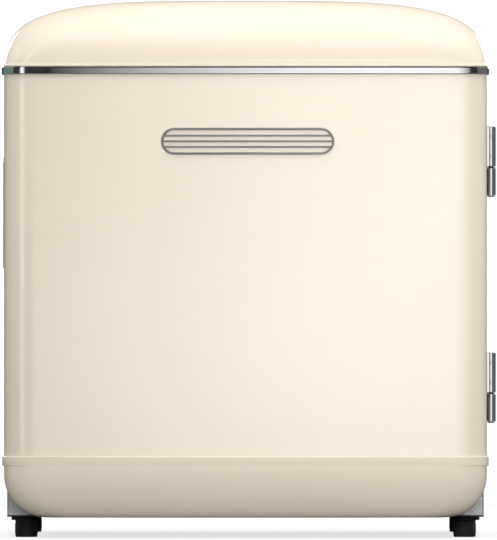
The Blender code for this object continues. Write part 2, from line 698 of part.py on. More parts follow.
def inner_outline(low, inset):
    """Outline inside the side panels and the top cover, square at its foot."""
    side = CABINET_HALF - SHEET - inset
    right = [(side, low), (side, SEAM - inset)]
    return both_sides(right + cabinet_arch(COVER_WALL + inset, SEAM - inset))


def inner_space(out, front):
    """The cabinet's inner space, grown by a distance, before its step is taken away."""
    outline = rounded(INNER_HALF + out, INNER_FLOOR - out, INNER_TOP + out, LINER_ROUND + out)
    return prism(outline, "Y", front, INNER_BACK + out)


def step_block(out):
    """What the step over the compressor bay takes out of the inner space."""
    return box((-CABINET_HALF, STEP_FRONT + out, 0.0), (CABINET_HALF, CABINET_DEPTH, STEP_TOP - out))


def inner_liner(fridge):
    """Moulded lining with ledges for the shelf."""
    liner = add("inner_liner", inner_space(LINER_WALL, 0.0), WHITE, fridge)
    shape(liner, step_block(LINER_WALL))
    shape(shape(liner, inner_space(0.0, -PAST)), step_block(0.0))
    for side in (-1, 1):
        edges = sorted((side * (INNER_HALF + LINER_WALL / 2), side * (INNER_HALF - LEDGE)))
        for top in (SHELF_LOW - FIT, SHELF_LOW + LEDGE_PITCH):
            shape(liner, box((edges[0], SHELF_FRONT, top - LEDGE_HEIGHT),
                             (edges[1], STEP_FRONT, top)), "UNION")


def cabinet_foam(fridge):
    front = BASE_SHEET + FIT
    outline = inner_outline(BODY_BOTTOM + BASE_SHEET + FIT, FIT)
    foam = add("cabinet_foam", prism(outline, "Y", front, CABINET_DEPTH - SHEET - FIT), FOAM, fridge)
    shape(shape(foam, inner_space(LINER_WALL + FIT, -PAST)), step_block(LINER_WALL + FIT))
    gap = BASE_SHEET + FIT
    shape(foam, box((-CABINET_HALF, BAY_FRONT - gap, 0.0),
                    (CABINET_HALF, CABINET_DEPTH + PAST, BAY_TOP + gap)))
    for x, y in foot_places()[:2]:
        shape(foam, cylinder(x, y, STUD_RADIUS + RUN + SOCKET_WALL + FIT, 0.0,
                             BODY_BOTTOM + STUD_LENGTH + 2 * FIT))


def front_frame(fridge):
    """Steel face of the cabinet round its opening, where the gasket seals."""
    plate = prism(inner_outline(BODY_BOTTOM + BASE_SHEET + FIT, FIT), "Y", 0.0, BASE_SHEET)
    frame = add("front_frame", plate, GREY_STEEL, fridge)
    out = LINER_WALL + FIT
    shape(frame, box((-INNER_HALF - out, -PAST, INNER_FLOOR - out),
                     (INNER_HALF + out, PAST, INNER_TOP + out)))


def back_panel(fridge):
    outline = inner_outline(BAY_TOP + FIT, FIT)
    add("back_panel", prism(outline, "Y", CABINET_DEPTH - SHEET, CABINET_DEPTH), GREY_STEEL, fridge)


def bay_panel(fridge):
    """Bent sheet between the insulation and the compressor bay."""
    low = BODY_BOTTOM + BASE_SHEET + FIT
    y, z = BAY_FRONT, BAY_TOP
    profile = [(y - BASE_SHEET, low), (y, low), (y, z), (CABINET_DEPTH, z),
               (CABINET_DEPTH, z + FIT / 2), (CABINET_DEPTH - SHEET - FIT, z + FIT / 2),
               (CABINET_DEPTH - SHEET - FIT, z + BASE_SHEET), (y - BASE_SHEET, z + BASE_SHEET)]
    half = CABINET_HALF - SHEET - FIT
    add("bay_panel", prism(profile, "X", -half, half), GREY_STEEL, fridge)


def foot_places():
    """Centres of the feet: front left, front right, back left, back right."""
    return [(side * (CABINET_HALF - FOOT_SIDE), y) for y in (FOOT_INSET, CABINET_DEPTH - FOOT_INSET)
            for side in (-1, 1)]


def base_plate(fridge):
    sheet = box((-CABINET_HALF, 0.0, BODY_BOTTOM), (CABINET_HALF, CABINET_DEPTH, BODY_BOTTOM + BASE_SHEET))
    plate = add("base_plate", sheet, GREY_STEEL, fridge)
    for x, y in foot_places()[:2]:
        shape(plate, cylinder(x, y, STUD_RADIUS + RUN, 0.0, BODY_BOTTOM + PAST))


def feet(fridge):
    """Two levelling feet with studs at the front, each on its own pivot, and two plain ones behind."""
    for name, (x, y) in zip(("left", "right"), foot_places()[:2]):
        top = BODY_BOTTOM - FIT
        foot = pivot(f"front_foot_{name}_axis", (x, y, 0.0), fridge)
        profile = [(FOOT_RADIUS, 0.0), (FOOT_RADIUS, top - FOOT_FLANGE_THICK),
                   (FOOT_FLANGE, top - FOOT_FLANGE_THICK), (FOOT_FLANGE, top), (STUD_RADIUS, top),
                   (STUD_RADIUS, BODY_BOTTOM + STUD_LENGTH)]
        add(f"front_foot_{name}", turned(profile, x, y), BLACK, foot)
        low = BODY_BOTTOM + BASE_SHEET + FIT
        inner = STUD_RADIUS + RUN
        add(f"foot_socket_{name}", tube(x, y, inner, inner + SOCKET_WALL, low,
                                        BODY_BOTTOM + STUD_LENGTH), BLACK, fridge)
    for name, (x, y) in zip(("left", "right"), foot_places()[2:]):
        top = BODY_BOTTOM - FIT
        profile = [(FOOT_RADIUS, 0.0), (FOOT_RADIUS, top - FOOT_FLANGE_THICK),
                   (FOOT_FLANGE, top - FOOT_FLANGE_THICK), (FOOT_FLANGE, top)]
        add(f"rear_foot_{name}", turned(profile, x, y), BLACK, fridge)


# ---- inside ----------------------------------------------------------------------------------------
def freezer_box(fridge):
    """Sheet evaporator box under the ceiling, open at the front."""
    freezer = add("freezer_box", box((FREEZER_LEFT, FREEZER_FRONT, FREEZER_BOTTOM),
                                     (FREEZER_RIGHT, FREEZER_BACK, FREEZER_TOP)),
                  ALUMINIUM, fridge)
    wall = FREEZER_WALL
    shape(freezer, box((FREEZER_LEFT + wall, FREEZER_FRONT - PAST, FREEZER_BOTTOM + wall),
                       (FREEZER_RIGHT - wall, FREEZER_BACK - wall, FREEZER_TOP - wall)))


def freezer_flap(fridge):
    """Flap hung on two pins at its top edge, and the brackets that carry them."""
    flap_axis = pivot("freezer_flap_axis", ((FREEZER_LEFT + FREEZER_RIGHT) / 2, FLAP_Y, FLAP_Z), fridge)
    half = FLAP_THICK / 2
    steps = 6
    profile = [(FLAP_Y - half, FREEZER_BOTTOM), (FLAP_Y + half, FREEZER_BOTTOM)]
    profile += [(FLAP_Y + half * cos(pi * k / steps), FLAP_Z + half * sin(pi * k / steps))
                for k in range(steps + 1)]
    inset = FLAP_BRACKET + RUN
    flap = add("freezer_flap", prism(profile, "X", FREEZER_LEFT + inset, FREEZER_RIGHT - inset), FROST,
               flap_axis)
    reach = FLAP_BRACKET / 2
    shape(flap, cylinder(FLAP_Y, FLAP_Z, FLAP_PIN_RADIUS, FREEZER_LEFT + reach, FREEZER_RIGHT - reach, "X"),
          "UNION")
    for name, low in (("left", FREEZER_LEFT), ("right", FREEZER_RIGHT - FLAP_BRACKET)):
        block = box((low, FLAP_Y - half, FLAP_Z - half), (low + FLAP_BRACKET, FLAP_Y + half, INNER_TOP - FIT))
        bracket = add(f"flap_bracket_{name}", block, WHITE, fridge)
        shape(bracket, cylinder(FLAP_Y, FLAP_Z, FLAP_PIN_RADIUS + RUN, low - PAST,
                                low + FLAP_BRACKET + PAST, "X"))


def drip_tray(fridge):
    """Shallow tray under the freezer box, on two rails that it slides along."""
    gap = RUN + RAIL_SHEET
    low = FREEZER_BOTTOM - RAIL_DROP + RAIL_SHEET + RUN
    left, right = FREEZER_LEFT + gap, FREEZER_RIGHT - gap
    front, back = FREEZER_FRONT, FREEZER_BACK
    tray_axis = pivot("drip_tray_axis", ((left + right) / 2, front, low), fridge)
    tray = add("drip_tray", box((left, front, low), (right, back, low + TRAY_HEIGHT)), FROST, tray_axis)
    shape(tray, box((left + TRAY_WALL, front + TRAY_WALL, low + TRAY_WALL),
                    (right - TRAY_WALL, back - TRAY_WALL, low + TRAY_HEIGHT + PAST)))
    for name, side, edge in (("left", 1, FREEZER_LEFT), ("right", -1, FREEZER_RIGHT)):
        bottom, top = FREEZER_BOTTOM - RAIL_DROP, FREEZER_BOTTOM - FIT
        profile = [(0.0, bottom), (RAIL_LIP, bottom), (RAIL_LIP, bottom + RAIL_SHEET),
                   (RAIL_SHEET, bottom + RAIL_SHEET), (RAIL_SHEET, top), (0.0, top)]
        add(f"tray_rail_{name}", prism([(edge + side * x, z) for x, z in profile], "Y", front, back),
            WHITE, fridge)


def thermostat(fridge):
    """Housing under the ceiling on the right, and the knob that turns on its front."""
    right, top, front = HOUSING_RIGHT, INNER_TOP - FIT, FREEZER_FRONT
    add("thermostat_housing", box((right - HOUSING_WIDTH, front, top - HOUSING_HEIGHT),
                                  (right, front + HOUSING_DEPTH, top)), WHITE, fridge)
    turn = pivot("thermostat_knob_axis", (KNOB_X, front, KNOB_Z), fridge)
    levels = ((KNOB_RADIUS, RUN), (KNOB_RADIUS, RUN + KNOB_SKIRT),
              (KNOB_RADIUS * KNOB_NECK, RUN + KNOB_SKIRT), (KNOB_RADIUS * KNOB_END, RUN + KNOB_LENGTH))
    rings = [[(x, front - out, z) for x, z in circle(radius, KNOB_X, KNOB_Z)] for radius, out in levels]
    add("thermostat_knob", loft(rings), WHITE, turn)


def glass_shelf(fridge):
    """Pane lying on the ledges and the step, with a trim along its front edge."""
    half = INNER_HALF - LOOSE
    low = SHELF_LOW
    add("glass_shelf", box((-half, SHELF_FRONT, low), (half, INNER_BACK - LINER_ROUND, low + SHELF_THICK)),
        GLASS, fridge)
    lip = TRIM_WALL
    y = SHELF_FRONT
    profile = [(y - FIT - lip, low - FIT - lip), (y + TRIM_UNDER, low - FIT - lip),
               (y + TRIM_UNDER, low - FIT),
               (y - FIT, low - FIT), (y - FIT, low + SHELF_THICK + FIT),
               (y + TRIM_OVER, low + SHELF_THICK + FIT), (y + TRIM_OVER, low + SHELF_THICK + FIT + lip),
               (y - FIT - lip, low + SHELF_THICK + FIT + lip)]
    trim = INNER_HALF - LEDGE - LOOSE
    add("shelf_trim", prism(profile, "X", -trim, trim), WHITE, fridge)


# ---- compressor bay and back -----------------------------------------------------------------------
def compressor(fridge):
    """Two-part welded pot on a foot plate, with its rubber mounts and terminal cover.

    The pot's outline is drawn from its foot up: a shallow bowl, the weld, and a domed lid.
    """
    x, y, low = COMPRESSOR_X, COMPRESSOR_Y, COMPRESSOR_LOW
    r, h = COMPRESSOR_RADIUS, COMPRESSOR_HEIGHT
    weld = low + h * WELD_RISE
    profile = [(r * 0.45, low + 0.002), (r * 0.82, low + 0.006), (r * 0.97, low + 0.022), (r, low + 0.034),
               (r, weld), (r * WELD_FLANGE, weld), (r * WELD_FLANGE, weld + WELD_THICK),
               (r, weld + WELD_THICK),
               (r, low + h * 0.75),
               (r * 0.93, low + h * 0.88), (r * 0.72, low + h * 0.96), (r * 0.3, low + h)]
    pot = add("compressor", turned(profile, x, y), BLACK_METAL, fridge)
    sx, sy = (spread / 2 + FOOT_PLATE_EDGE for spread in GROMMET_SPREAD)
    shape(pot, box((x - sx, y - sy, low), (x + sx, y + sy, low + FOOT_PLATE)), "UNION")
    under = BODY_BOTTOM + BASE_SHEET + FIT
    for name, ax, ay in (("front_left", -1, -1), ("front_right", 1, -1), ("back_left", -1, 1),
                         ("back_right", 1, 1)):
        gx, gy = x + ax * GROMMET_SPREAD[0] / 2, y + ay * GROMMET_SPREAD[1] / 2
        add(f"grommet_{name}", tube(gx, gy, GROMMET_BORE, GROMMET_RADIUS, under, under + GROMMET_HEIGHT),
            RUBBER, fridge)
    side = x + r * WELD_FLANGE + TERMINAL_GAP
    foot, half = low + TERMINAL_RISE, TERMINAL_WIDTH / 2
    cover = box((side, y - half, foot), (side + TERMINAL_DEPTH, y + half, foot + TERMINAL_HEIGHT))
    add("terminal_cover", cover, BLACK, fridge)


def evaporation_pan(fridge):
    """Open pan on the warm compressor."""
    x, y, wall = COMPRESSOR_X, COMPRESSOR_Y, PAN_WALL
    px, py = PAN_SIZE[0] / 2, PAN_SIZE[1] / 2
    pan = add("evaporation_pan", box((x - px, y - py, PAN_LOW), (x + px, y + py, PAN_LOW + PAN_HEIGHT)),
              BLACK, fridge)
    shape(pan, box((x - px + wall, y - py + wall, PAN_LOW + wall),
                   (x + px - wall, y + py - wall, PAN_LOW + PAN_HEIGHT + PAST)))


def quarter(centre, radius, start, turn, steps=4):
    """Quarter circle from one angle, a quarter turn on, as flat points."""
    return [(centre[0] + radius * cos(start + turn * pi / 2 * k / steps),
             centre[1] + radius * sin(start + turn * pi / 2 * k / steps)) for k in range(steps + 1)]


def condenser_route():
    """From the drier up into the lowest pass, through all of them, and down to the compressor."""
    y = CABINET_DEPTH + CONDENSER_STANDOFF
    half, bend, lead = CONDENSER_HALF, CONDENSER_PITCH / 2, CONDENSER_LEAD
    low = CONDENSER_LOW
    end = low - 2 * lead - LEAD_DROP
    entry = [(-half, py, pz) for py, pz in quarter((y - lead, end + lead), lead, -pi / 2, 1)]
    entry += [(px, y, pz) for px, pz in quarter((lead - half, low - lead), lead, pi, -1)]
    points = [(-half, CABINET_DEPTH - DRIER_BACK, end)] + entry
    for row in range(CONDENSER_PASSES):
        way = 1 if row % 2 == 0 else -1
        z = low + row * CONDENSER_PITCH
        if row:
            points.append((-way * (half - bend), y, z))
        if row < CONDENSER_PASSES - 1:
            points.append((way * (half - bend), y, z))
            for k in range(1, 6):
                angle = -pi / 2 + pi * k / 6
                points.append((way * (half - bend + bend * cos(angle)), y, z + bend + bend * sin(angle)))
    x = half + lead
    points += [(px, y, pz) for px, pz in quarter((x - lead, z - lead), lead, pi / 2, -1)]
    points += [(x, py, pz) for py, pz in reversed(quarter((y - lead, end + lead), lead, -pi / 2, 1))]
    points += [(x, CABINET_DEPTH - BAY_DEPTH / 2, end)]
    return points


def condenser(fridge):
    rod("condenser_coil", condenser_route(), CONDENSER_TUBE, BLACK_METAL, fridge)
    low = CONDENSER_LOW - BRACKET_DROP
    high = low + CONDENSER_PASSES * CONDENSER_PITCH
    back = CABINET_DEPTH
    near, far = back + SHEET + 2 * FIT, back + SPACER_REACH
    strip = back + CONDENSER_STANDOFF - CONDENSER_TUBE - FIT
    foot = BRACKET_FOOT
    profile = [(near, low), (far, low), (far, low + foot), (strip, low + foot), (strip, high - foot),
               (far, high - foot), (far, high), (near, high), (near, high - foot),
               (strip - BRACKET_STRIP, high - foot), (strip - BRACKET_STRIP, low + foot), (near, low + foot)]
    for name, x in (("left", -BRACKET_SPREAD), ("right", BRACKET_SPREAD)):
        half = BRACKET_WIDTH / 2
        add(f"condenser_bracket_{name}", prism(profile, "X", x - half, x + half), BLACK, fridge)


def drier_and_tubes(fridge):
    """Copper filter drier at the coil's lower end, and the suction tube from wall to compressor."""
    x, y = -CONDENSER_HALF, CABINET_DEPTH - DRIER_BACK - DRIER_RADIUS - FIT
    top = CONDENSER_LOW - 2 * CONDENSER_LEAD
    profile = [(DRIER_NECK, top - DRIER_LENGTH), (DRIER_RADIUS, top - DRIER_LENGTH + DRIER_TAPER),
               (DRIER_RADIUS, top - DRIER_TAPER), (DRIER_NECK, top)]
    add("filter_drier", turned(profile, x, y), COPPER, fridge)
    bend = SUCTION_BEND
    start = COMPRESSOR_X - COMPRESSOR_RADIUS - SUCTION_GAP
    height = COMPRESSOR_LOW + SUCTION_RISE
    x = start - SUCTION_RUN
    y = COMPRESSOR_Y
    route = [(start, y, height)]
    route += [(x - bend * sin(pi / 2 * k / 5), y, height + bend - bend * cos(pi / 2 * k / 5))
              for k in range(6)]
    route.append((x - bend, y, BAY_TOP - SUCTION_GAP))
    rod("suction_tube", route, SUCTION_RADIUS, COPPER, fridge)


def cord_entry(fridge):
    """Bracket on the base with the bushing that the supply cord would leave through."""
    x, y = CABINET_HALF - CORD_SIDE, CABINET_DEPTH - CORD_INSET
    low = BODY_BOTTOM + BASE_SHEET + FIT
    width, foot, height = CORD_BRACKET
    profile = [(y - foot, low), (y, low), (y, low + height), (y - CORD_SHEET, low + height),
               (y - CORD_SHEET, low + CORD_SHEET), (y - foot, low + CORD_SHEET)]
    bracket = add("cord_bracket", prism(profile, "X", x - width / 2, x + width / 2), ZINC, fridge)
    z = low + CORD_RISE
    shape(bracket, cylinder(x, z, GLAND_NECK + FIT, y - foot - PAST, y + PAST, "Y"))
    levels = [(GLAND_NECK, y - GLAND_TAIL), (GLAND_NECK, y + FIT), (GLAND_COLLAR, y + FIT),
              (GLAND_COLLAR, y + GLAND_COLLAR_REACH), (GLAND_END, y + GLAND_REACH),
              (GLAND_BORE, y + GLAND_REACH), (GLAND_BORE, y - GLAND_TAIL)]
    bm = bmesh.new()
    grid = [[bm.verts.new((px, level, pz)) for px, pz in circle(radius, x, z)] for radius, level in levels]
    for one, two in zip(grid, grid[1:] + grid[:1]):
        for k, vert in enumerate(one):
            after = (k + 1) % len(one)
            bm.faces.new((vert, one[after], two[after], two[k]))
    add("cord_gland", bm, BLACK, fridge)


# ---- the whole fridge ------------------------------------------------------------------------------
def build():
    for old in list(bpy.data.objects):
        bpy.data.objects.remove(old, do_unlink=True)
    fridge = pivot("fridge", MIDDLE)
    door = pivot("door_axis", (HINGE_X, HINGE_Y, 0.0), fridge)

    base_plate(fridge)
    for name, side in (("left_side_panel", -1), ("right_side_panel", 1)):
        side_panel(name, side, fridge)
    top_cover(fridge)
    front_frame(fridge)
    back_panel(fridge)
    bay_panel(fridge)
    inner_liner(fridge)
    cabinet_foam(fridge)
    feet(fridge)

    door_outer_shell(door)
    door_foam(door)
    door_inner_liner(door)
    door_gasket(door)
    chrome_band(door)
    badge(door)
    grip_cup(door)
    for name, low, sizes in (("bottle_rack", BOTTLE_RACK_LOW, BOTTLE_RACK),
                             ("upper_rack", UPPER_RACK_LOW, UPPER_RACK)):
        rack(name, low, sizes, door)
        rack_bar(f"{name}_bar", low, sizes, door)
    for name, low in zip(("lower_hinge", "upper_hinge"), HINGE_LOW):
        hinge(name, low, fridge, door)

    freezer_box(fridge)
    freezer_flap(fridge)
    drip_tray(fridge)
    thermostat(fridge)
    glass_shelf(fridge)

    compressor(fridge)
    evaporation_pan(fridge)
    condenser(fridge)
    drier_and_tubes(fridge)
    cord_entry(fridge)


build()
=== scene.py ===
import json
from math import atan2, ceil, cos, hypot, pi, radians, sin, sqrt, tan

import bmesh
import bpy
from mathutils import Matrix, Vector

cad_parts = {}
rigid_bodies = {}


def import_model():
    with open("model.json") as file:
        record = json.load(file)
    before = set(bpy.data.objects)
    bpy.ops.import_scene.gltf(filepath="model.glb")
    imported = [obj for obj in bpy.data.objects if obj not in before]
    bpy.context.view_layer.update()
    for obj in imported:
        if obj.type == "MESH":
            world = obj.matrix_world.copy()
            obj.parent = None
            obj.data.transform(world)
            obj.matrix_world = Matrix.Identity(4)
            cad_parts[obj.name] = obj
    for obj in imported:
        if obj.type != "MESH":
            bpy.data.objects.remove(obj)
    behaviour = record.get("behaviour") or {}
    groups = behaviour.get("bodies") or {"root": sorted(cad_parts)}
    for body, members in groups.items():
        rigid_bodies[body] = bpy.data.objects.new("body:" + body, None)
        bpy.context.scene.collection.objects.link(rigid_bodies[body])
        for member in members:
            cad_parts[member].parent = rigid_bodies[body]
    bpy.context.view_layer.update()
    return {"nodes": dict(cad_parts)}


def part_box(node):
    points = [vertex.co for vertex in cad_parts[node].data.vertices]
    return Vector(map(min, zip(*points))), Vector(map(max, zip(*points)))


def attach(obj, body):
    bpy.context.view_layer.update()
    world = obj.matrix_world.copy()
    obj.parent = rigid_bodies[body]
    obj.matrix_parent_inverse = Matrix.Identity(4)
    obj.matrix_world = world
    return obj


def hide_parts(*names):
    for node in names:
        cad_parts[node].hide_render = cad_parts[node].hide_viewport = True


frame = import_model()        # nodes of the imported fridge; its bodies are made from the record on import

bl_info = {
    "name": "Retro mini fridge",
    "version": (1, 0, 0),
    "blender": (4, 5, 0),
    "location": "3D View > Sidebar > Mini Fridge",
    "description": "Builds the visible pieces and finishes of a table-top fridge round its frame",
    "category": "Add Mesh",
}

_band_low, _band_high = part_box("chrome_band")
MIDDLE = Vector(((_band_low.x + _band_high.x) / 2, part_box("base_plate")[0].y, 0.0))


def extent(node):
    """Lowest and highest corner of a frame node, in fridge coordinates."""
    low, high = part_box(node)
    return low - MIDDLE, high - MIDDLE


# ---- sizes read from the frame, and the shape values that the frame's door was drawn with ----------
BAND = extent("chrome_band")
SHELL = extent("door_outer_shell")
BAND_PROUD = 0.0021
RIB_PROUD = 0.0017
FIT = 0.0003
DOOR_HALF = BAND[1].x - BAND_PROUD
FACE_Y = BAND[0].y + BAND_PROUD
DOOR_GAP = -SHELL[1].y
DOOR_DEPTH = -FACE_Y - DOOR_GAP
BODY_BOTTOM = SHELL[0].z
TOP_HEIGHT = SHELL[1].z
BAND_LOW, BAND_TOP = BAND[0].z, BAND[1].z
DOME_RISE = 0.079                   # the arch: how high it rises, how square and how flat it is
DOME_SPRING = TOP_HEIGHT - DOME_RISE
DOME_POWER = 3.8
DOME_FLAT = 0.12
DOME_SPREAD = 0.75                  # how far the front edge's rounding spreads at the crest
DOME_BODY = 0.8
CREST_DEPTH = 0.008
CORNER_STEPS = 18
LOWER_CORNER = 0.039
FRONT_EDGE = 0.030
FRONT_EDGE_DEPTH = 0.015
FRONT_CROWN = 0.008
ROLL_HEIGHT = 0.049
ROLL_DEPTH = 0.018
ROLL_POWER = 1.7
RIB_LOW = BODY_BOTTOM + 0.0477
RIB_HEIGHT = 0.0092
RIB_ROUND = 0.0011
SHELL_WALL = 0.002
COVER_WALL = 0.0025
LINER_WALL = 0.0015
LINER_ROUND = 0.012
CABINET_HALF = extent("base_plate")[1].x
CABINET_DEPTH = extent("base_plate")[1].y
COVER = extent("top_cover")
SEAM = COVER[0].z
LINER = extent("inner_liner")
GRIP_FLANGE = 0.005


# ---- what a user would change ----------------------------------------------------------------------
class FridgeColours(bpy.types.PropertyGroup):
    """Colours of the fridge's finishes."""

    cream: bpy.props.FloatVectorProperty(
        name="Cream", description="Gloss paint of the door and the top cover",
        subtype="COLOR", size=3, min=0.0, max=1.0, default=(0.725, 0.645, 0.53))
    cabinet: bpy.props.FloatVectorProperty(
        name="Cabinet", description="Powder coat of the sides and the front frame",
        subtype="COLOR", size=3, min=0.0, max=1.0, default=(0.56, 0.56, 0.56))
    lining: bpy.props.FloatVectorProperty(
        name="Lining", description="Moulded lining and the pieces fixed to it",
        subtype="COLOR", size=3, min=0.0, max=1.0, default=(0.80, 0.82, 0.82))
    seal: bpy.props.FloatVectorProperty(
        name="Door seal", description="Soft seal between door and cabinet",
        subtype="COLOR", size=3, min=0.0, max=1.0, default=(0.58, 0.58, 0.56))
    plaque: bpy.props.FloatVectorProperty(
        name="Plaque", description="Satin metal of the plain plaque",
        subtype="COLOR", size=3, min=0.0, max=1.0, default=(0.34, 0.345, 0.355))


class FridgeSizes(bpy.types.PropertyGroup):
    """Sizes of the details that the frame leaves open."""

    bead: bpy.props.FloatProperty(
        name="Dome bead", description="How far the dome's lower edge stands proud over the band",
        subtype="DISTANCE", unit="LENGTH", default=0.0007, min=0.0, max=0.0015)
    soft_edge: bpy.props.FloatProperty(
        name="Soft edge", description="Rounding of moulded and pressed edges",
        subtype="DISTANCE", unit="LENGTH", default=0.0006, min=0.0001, max=0.002)
    wire: bpy.props.FloatProperty(
        name="Condenser wire", description="Diameter of the wires welded across the condenser",
        subtype="DISTANCE", unit="LENGTH", default=0.0015, min=0.0008, max=0.002)
    wire_pitch: bpy.props.FloatProperty(
        name="Wire pitch", description="Distance between two wires of the condenser",
        subtype="DISTANCE", unit="LENGTH", default=0.0065, min=0.004, max=0.02)
    screw: bpy.props.FloatProperty(
        name="Screw head", description="Radius of the screw heads",
        subtype="DISTANCE", unit="LENGTH", default=0.0029, min=0.001, max=0.004)
    numbers: bpy.props.IntProperty(
        name="Dial numbers", description="How many steps the thermostat's dial shows",
        default=5, min=2, max=7)


def colours():
    return bpy.context.scene.fridge_colours


def sizes():
    return bpy.context.scene.fridge_sizes


# ---- finishes --------------------------------------------------------------------------------------
def once(build):
    """Builds a finish the first time it is asked for, and hands out the same one after that."""
    made = []

    def get():
        if not made:
            made.append(build().material)
        return made[0]
    return get


class Finish:
    """A procedural material on Object coordinates, with the few node set-ups that they share."""

    def __init__(self, name, colour, roughness, metallic=0.0, constants=None):
        self.material = bpy.data.materials.new(name)
        self.material.use_nodes = True
        self.tree = self.material.node_tree
        self.shader = self.tree.nodes["Principled BSDF"]
        self.place = self.tree.nodes.new("ShaderNodeTexCoord").outputs["Object"]
        self.colour = (*colour, 1.0)
        self.normal = None
        self.shader.inputs["Base Color"].default_value = self.colour
        self.shader.inputs["Roughness"].default_value = roughness
        self.shader.inputs["Metallic"].default_value = metallic
        for socket, value in (constants or {}).items():
            self.shader.inputs[socket].default_value = value

    def stretched(self, stretch):
        mapping = self.tree.nodes.new("ShaderNodeMapping")
        mapping.inputs["Scale"].default_value = stretch
        self.tree.links.new(self.place, mapping.inputs["Vector"])
        return mapping.outputs["Vector"]

    def noise(self, scale, detail=3.0, stretch=(1.0, 1.0, 1.0)):
        node = self.tree.nodes.new("ShaderNodeTexNoise")
        node.inputs["Scale"].default_value = scale
        node.inputs["Detail"].default_value = detail
        self.tree.links.new(self.stretched(stretch), node.inputs["Vector"])
        return node.outputs["Fac"]

    def cells(self, scale, output="Distance"):
        node = self.tree.nodes.new("ShaderNodeTexVoronoi")
        node.inputs["Scale"].default_value = scale
        self.tree.links.new(self.place, node.inputs["Vector"])
        return node.outputs[output]

    def span(self, value, low, high, to_low=0.0, to_high=1.0):
        node = self.tree.nodes.new("ShaderNodeMapRange")
        for socket, number in zip(("From Min", "From Max", "To Min", "To Max"),
                                  (low, high, to_low, to_high)):
            node.inputs[socket].default_value = number
        self.tree.links.new(value, node.inputs["Value"])
        return node.outputs["Result"]

    def tint(self, factor, other):
        """Blends the colour so far towards another one."""
        node = self.tree.nodes.new("ShaderNodeMix")
        node.data_type = "RGBA"
        socket = self.shader.inputs["Base Color"]
        if socket.is_linked:
            self.tree.links.new(socket.links[0].from_socket, node.inputs["A"])
        else:
            node.inputs["A"].default_value = self.colour
        node.inputs["B"].default_value = (*other, 1.0)
        self.tree.links.new(factor, node.inputs["Factor"])
        self.tree.links.new(node.outputs["Result"], socket)

    def shade(self, factor, share):
        """Blends the colour towards a darker shade of itself."""
        self.tint(factor, [channel * share for channel in self.colour[:3]])

    def polish(self, factor, low, high):
        """Lets the roughness wander between two values."""
        self.tree.links.new(self.span(factor, 0.3, 0.7, low, high), self.shader.inputs["Roughness"])

    def relief(self, height, distance, strength=1.0):
        node = self.tree.nodes.new("ShaderNodeBump")
        node.inputs["Distance"].default_value = distance
        node.inputs["Strength"].default_value = strength
        self.tree.links.new(height, node.inputs["Height"])
        if self.normal is not None:
            self.tree.links.new(self.normal, node.inputs["Normal"])
        self.normal = node.outputs["Normal"]
        self.tree.links.new(self.normal, self.shader.inputs["Normal"])


@once
def cream_paint():
    """Gloss cream with a faint orange peel and a slow drift of tone."""
    look = Finish("cream_gloss_paint", colours().cream, 0.14, 0.0, {"IOR": 2.2})
    look.shade(look.span(look.noise(6.0, 1.0), 0.25, 0.75), 0.985)
    look.shade(look.span(look.noise(420.0, 2.0), 0.55, 0.75), 0.97)
    look.polish(look.noise(14.0, 1.0), 0.125, 0.15)
    look.relief(look.noise(260.0, 1.0), 0.00002, 0.5)
    return look


@once
def powder_coat():
    """Light grey powder coat with a fine stucco and pale and dark specks."""
    look = Finish("grey_powder_coat", colours().cabinet, 0.48, 0.0, {"Specular IOR Level": 0.45})
    look.tint(look.span(look.noise(900.0, 2.0), 0.52, 0.66), (0.78, 0.78, 0.785))
    look.shade(look.span(look.noise(700.0, 3.0), 0.56, 0.70), 0.62)
    look.polish(look.noise(150.0), 0.42, 0.56)
    look.relief(look.noise(620.0, 2.0), 0.00035, 0.6)
    return look


@once
def lining_plastic():
    """White moulded lining, satin, with a soft waviness from the mould."""
    look = Finish("white_moulded_lining", colours().lining, 0.34, 0.0, {"Coat Weight": 0.1})
    look.shade(look.span(look.noise(14.0), 0.4, 0.8), 0.96)
    look.polish(look.noise(60.0), 0.28, 0.42)
    look.relief(look.noise(45.0, 1.0), 0.0004, 0.12)
    look.relief(look.noise(1500.0, 1.0), 0.00003, 0.5)
    return look


@once
def soft_seal():
    look = Finish("soft_door_seal", colours().seal, 0.55, 0.0, {"Sheen Weight": 0.15})
    look.shade(look.span(look.noise(80.0), 0.35, 0.7), 0.88)
    look.relief(look.noise(900.0), 0.0001, 0.5)
    return look


@once
def mirror_chrome():
    look = Finish("mirror_chrome", (0.80, 0.80, 0.81), 0.05, 1.0)
    look.polish(look.noise(40.0, 5.0), 0.035, 0.085)
    look.shade(look.span(look.noise(300.0, 4.0), 0.66, 0.8), 0.9)
    return look


@once
def satin_metal():
    """Satin metal brushed along the plaque's length."""
    look = Finish("satin_plaque_metal", colours().plaque, 0.38, 0.85)
    grain = look.noise(500.0, 3.0, (0.02, 1.0, 1.0))
    look.shade(grain, 0.8)
    look.polish(grain, 0.30, 0.46)
    look.relief(grain, 0.00005, 0.4)
    return look


@once
def black_moulding():
    look = Finish("black_moulded_plastic", (0.012, 0.012, 0.013), 0.5, 0.0, {"Specular IOR Level": 0.4})
    look.tint(look.span(look.noise(60.0), 0.45, 0.8), (0.028, 0.028, 0.029))
    look.polish(look.noise(120.0), 0.42, 0.62)
    look.relief(look.cells(1600.0), 0.00012, 0.45)
    return look


@once
def black_enamel():
    """Stoved black enamel with a little dust in pale patches here and there."""
    look = Finish("black_stoved_enamel", (0.014, 0.014, 0.015), 0.3, 0.0, {"Coat Weight": 0.3})
    look.tint(look.span(look.noise(35.0, 6.0), 0.5, 0.85), (0.05, 0.048, 0.045))
    look.polish(look.noise(80.0, 4.0), 0.24, 0.42)
    look.relief(look.noise(380.0), 0.00012, 0.4)
    return look


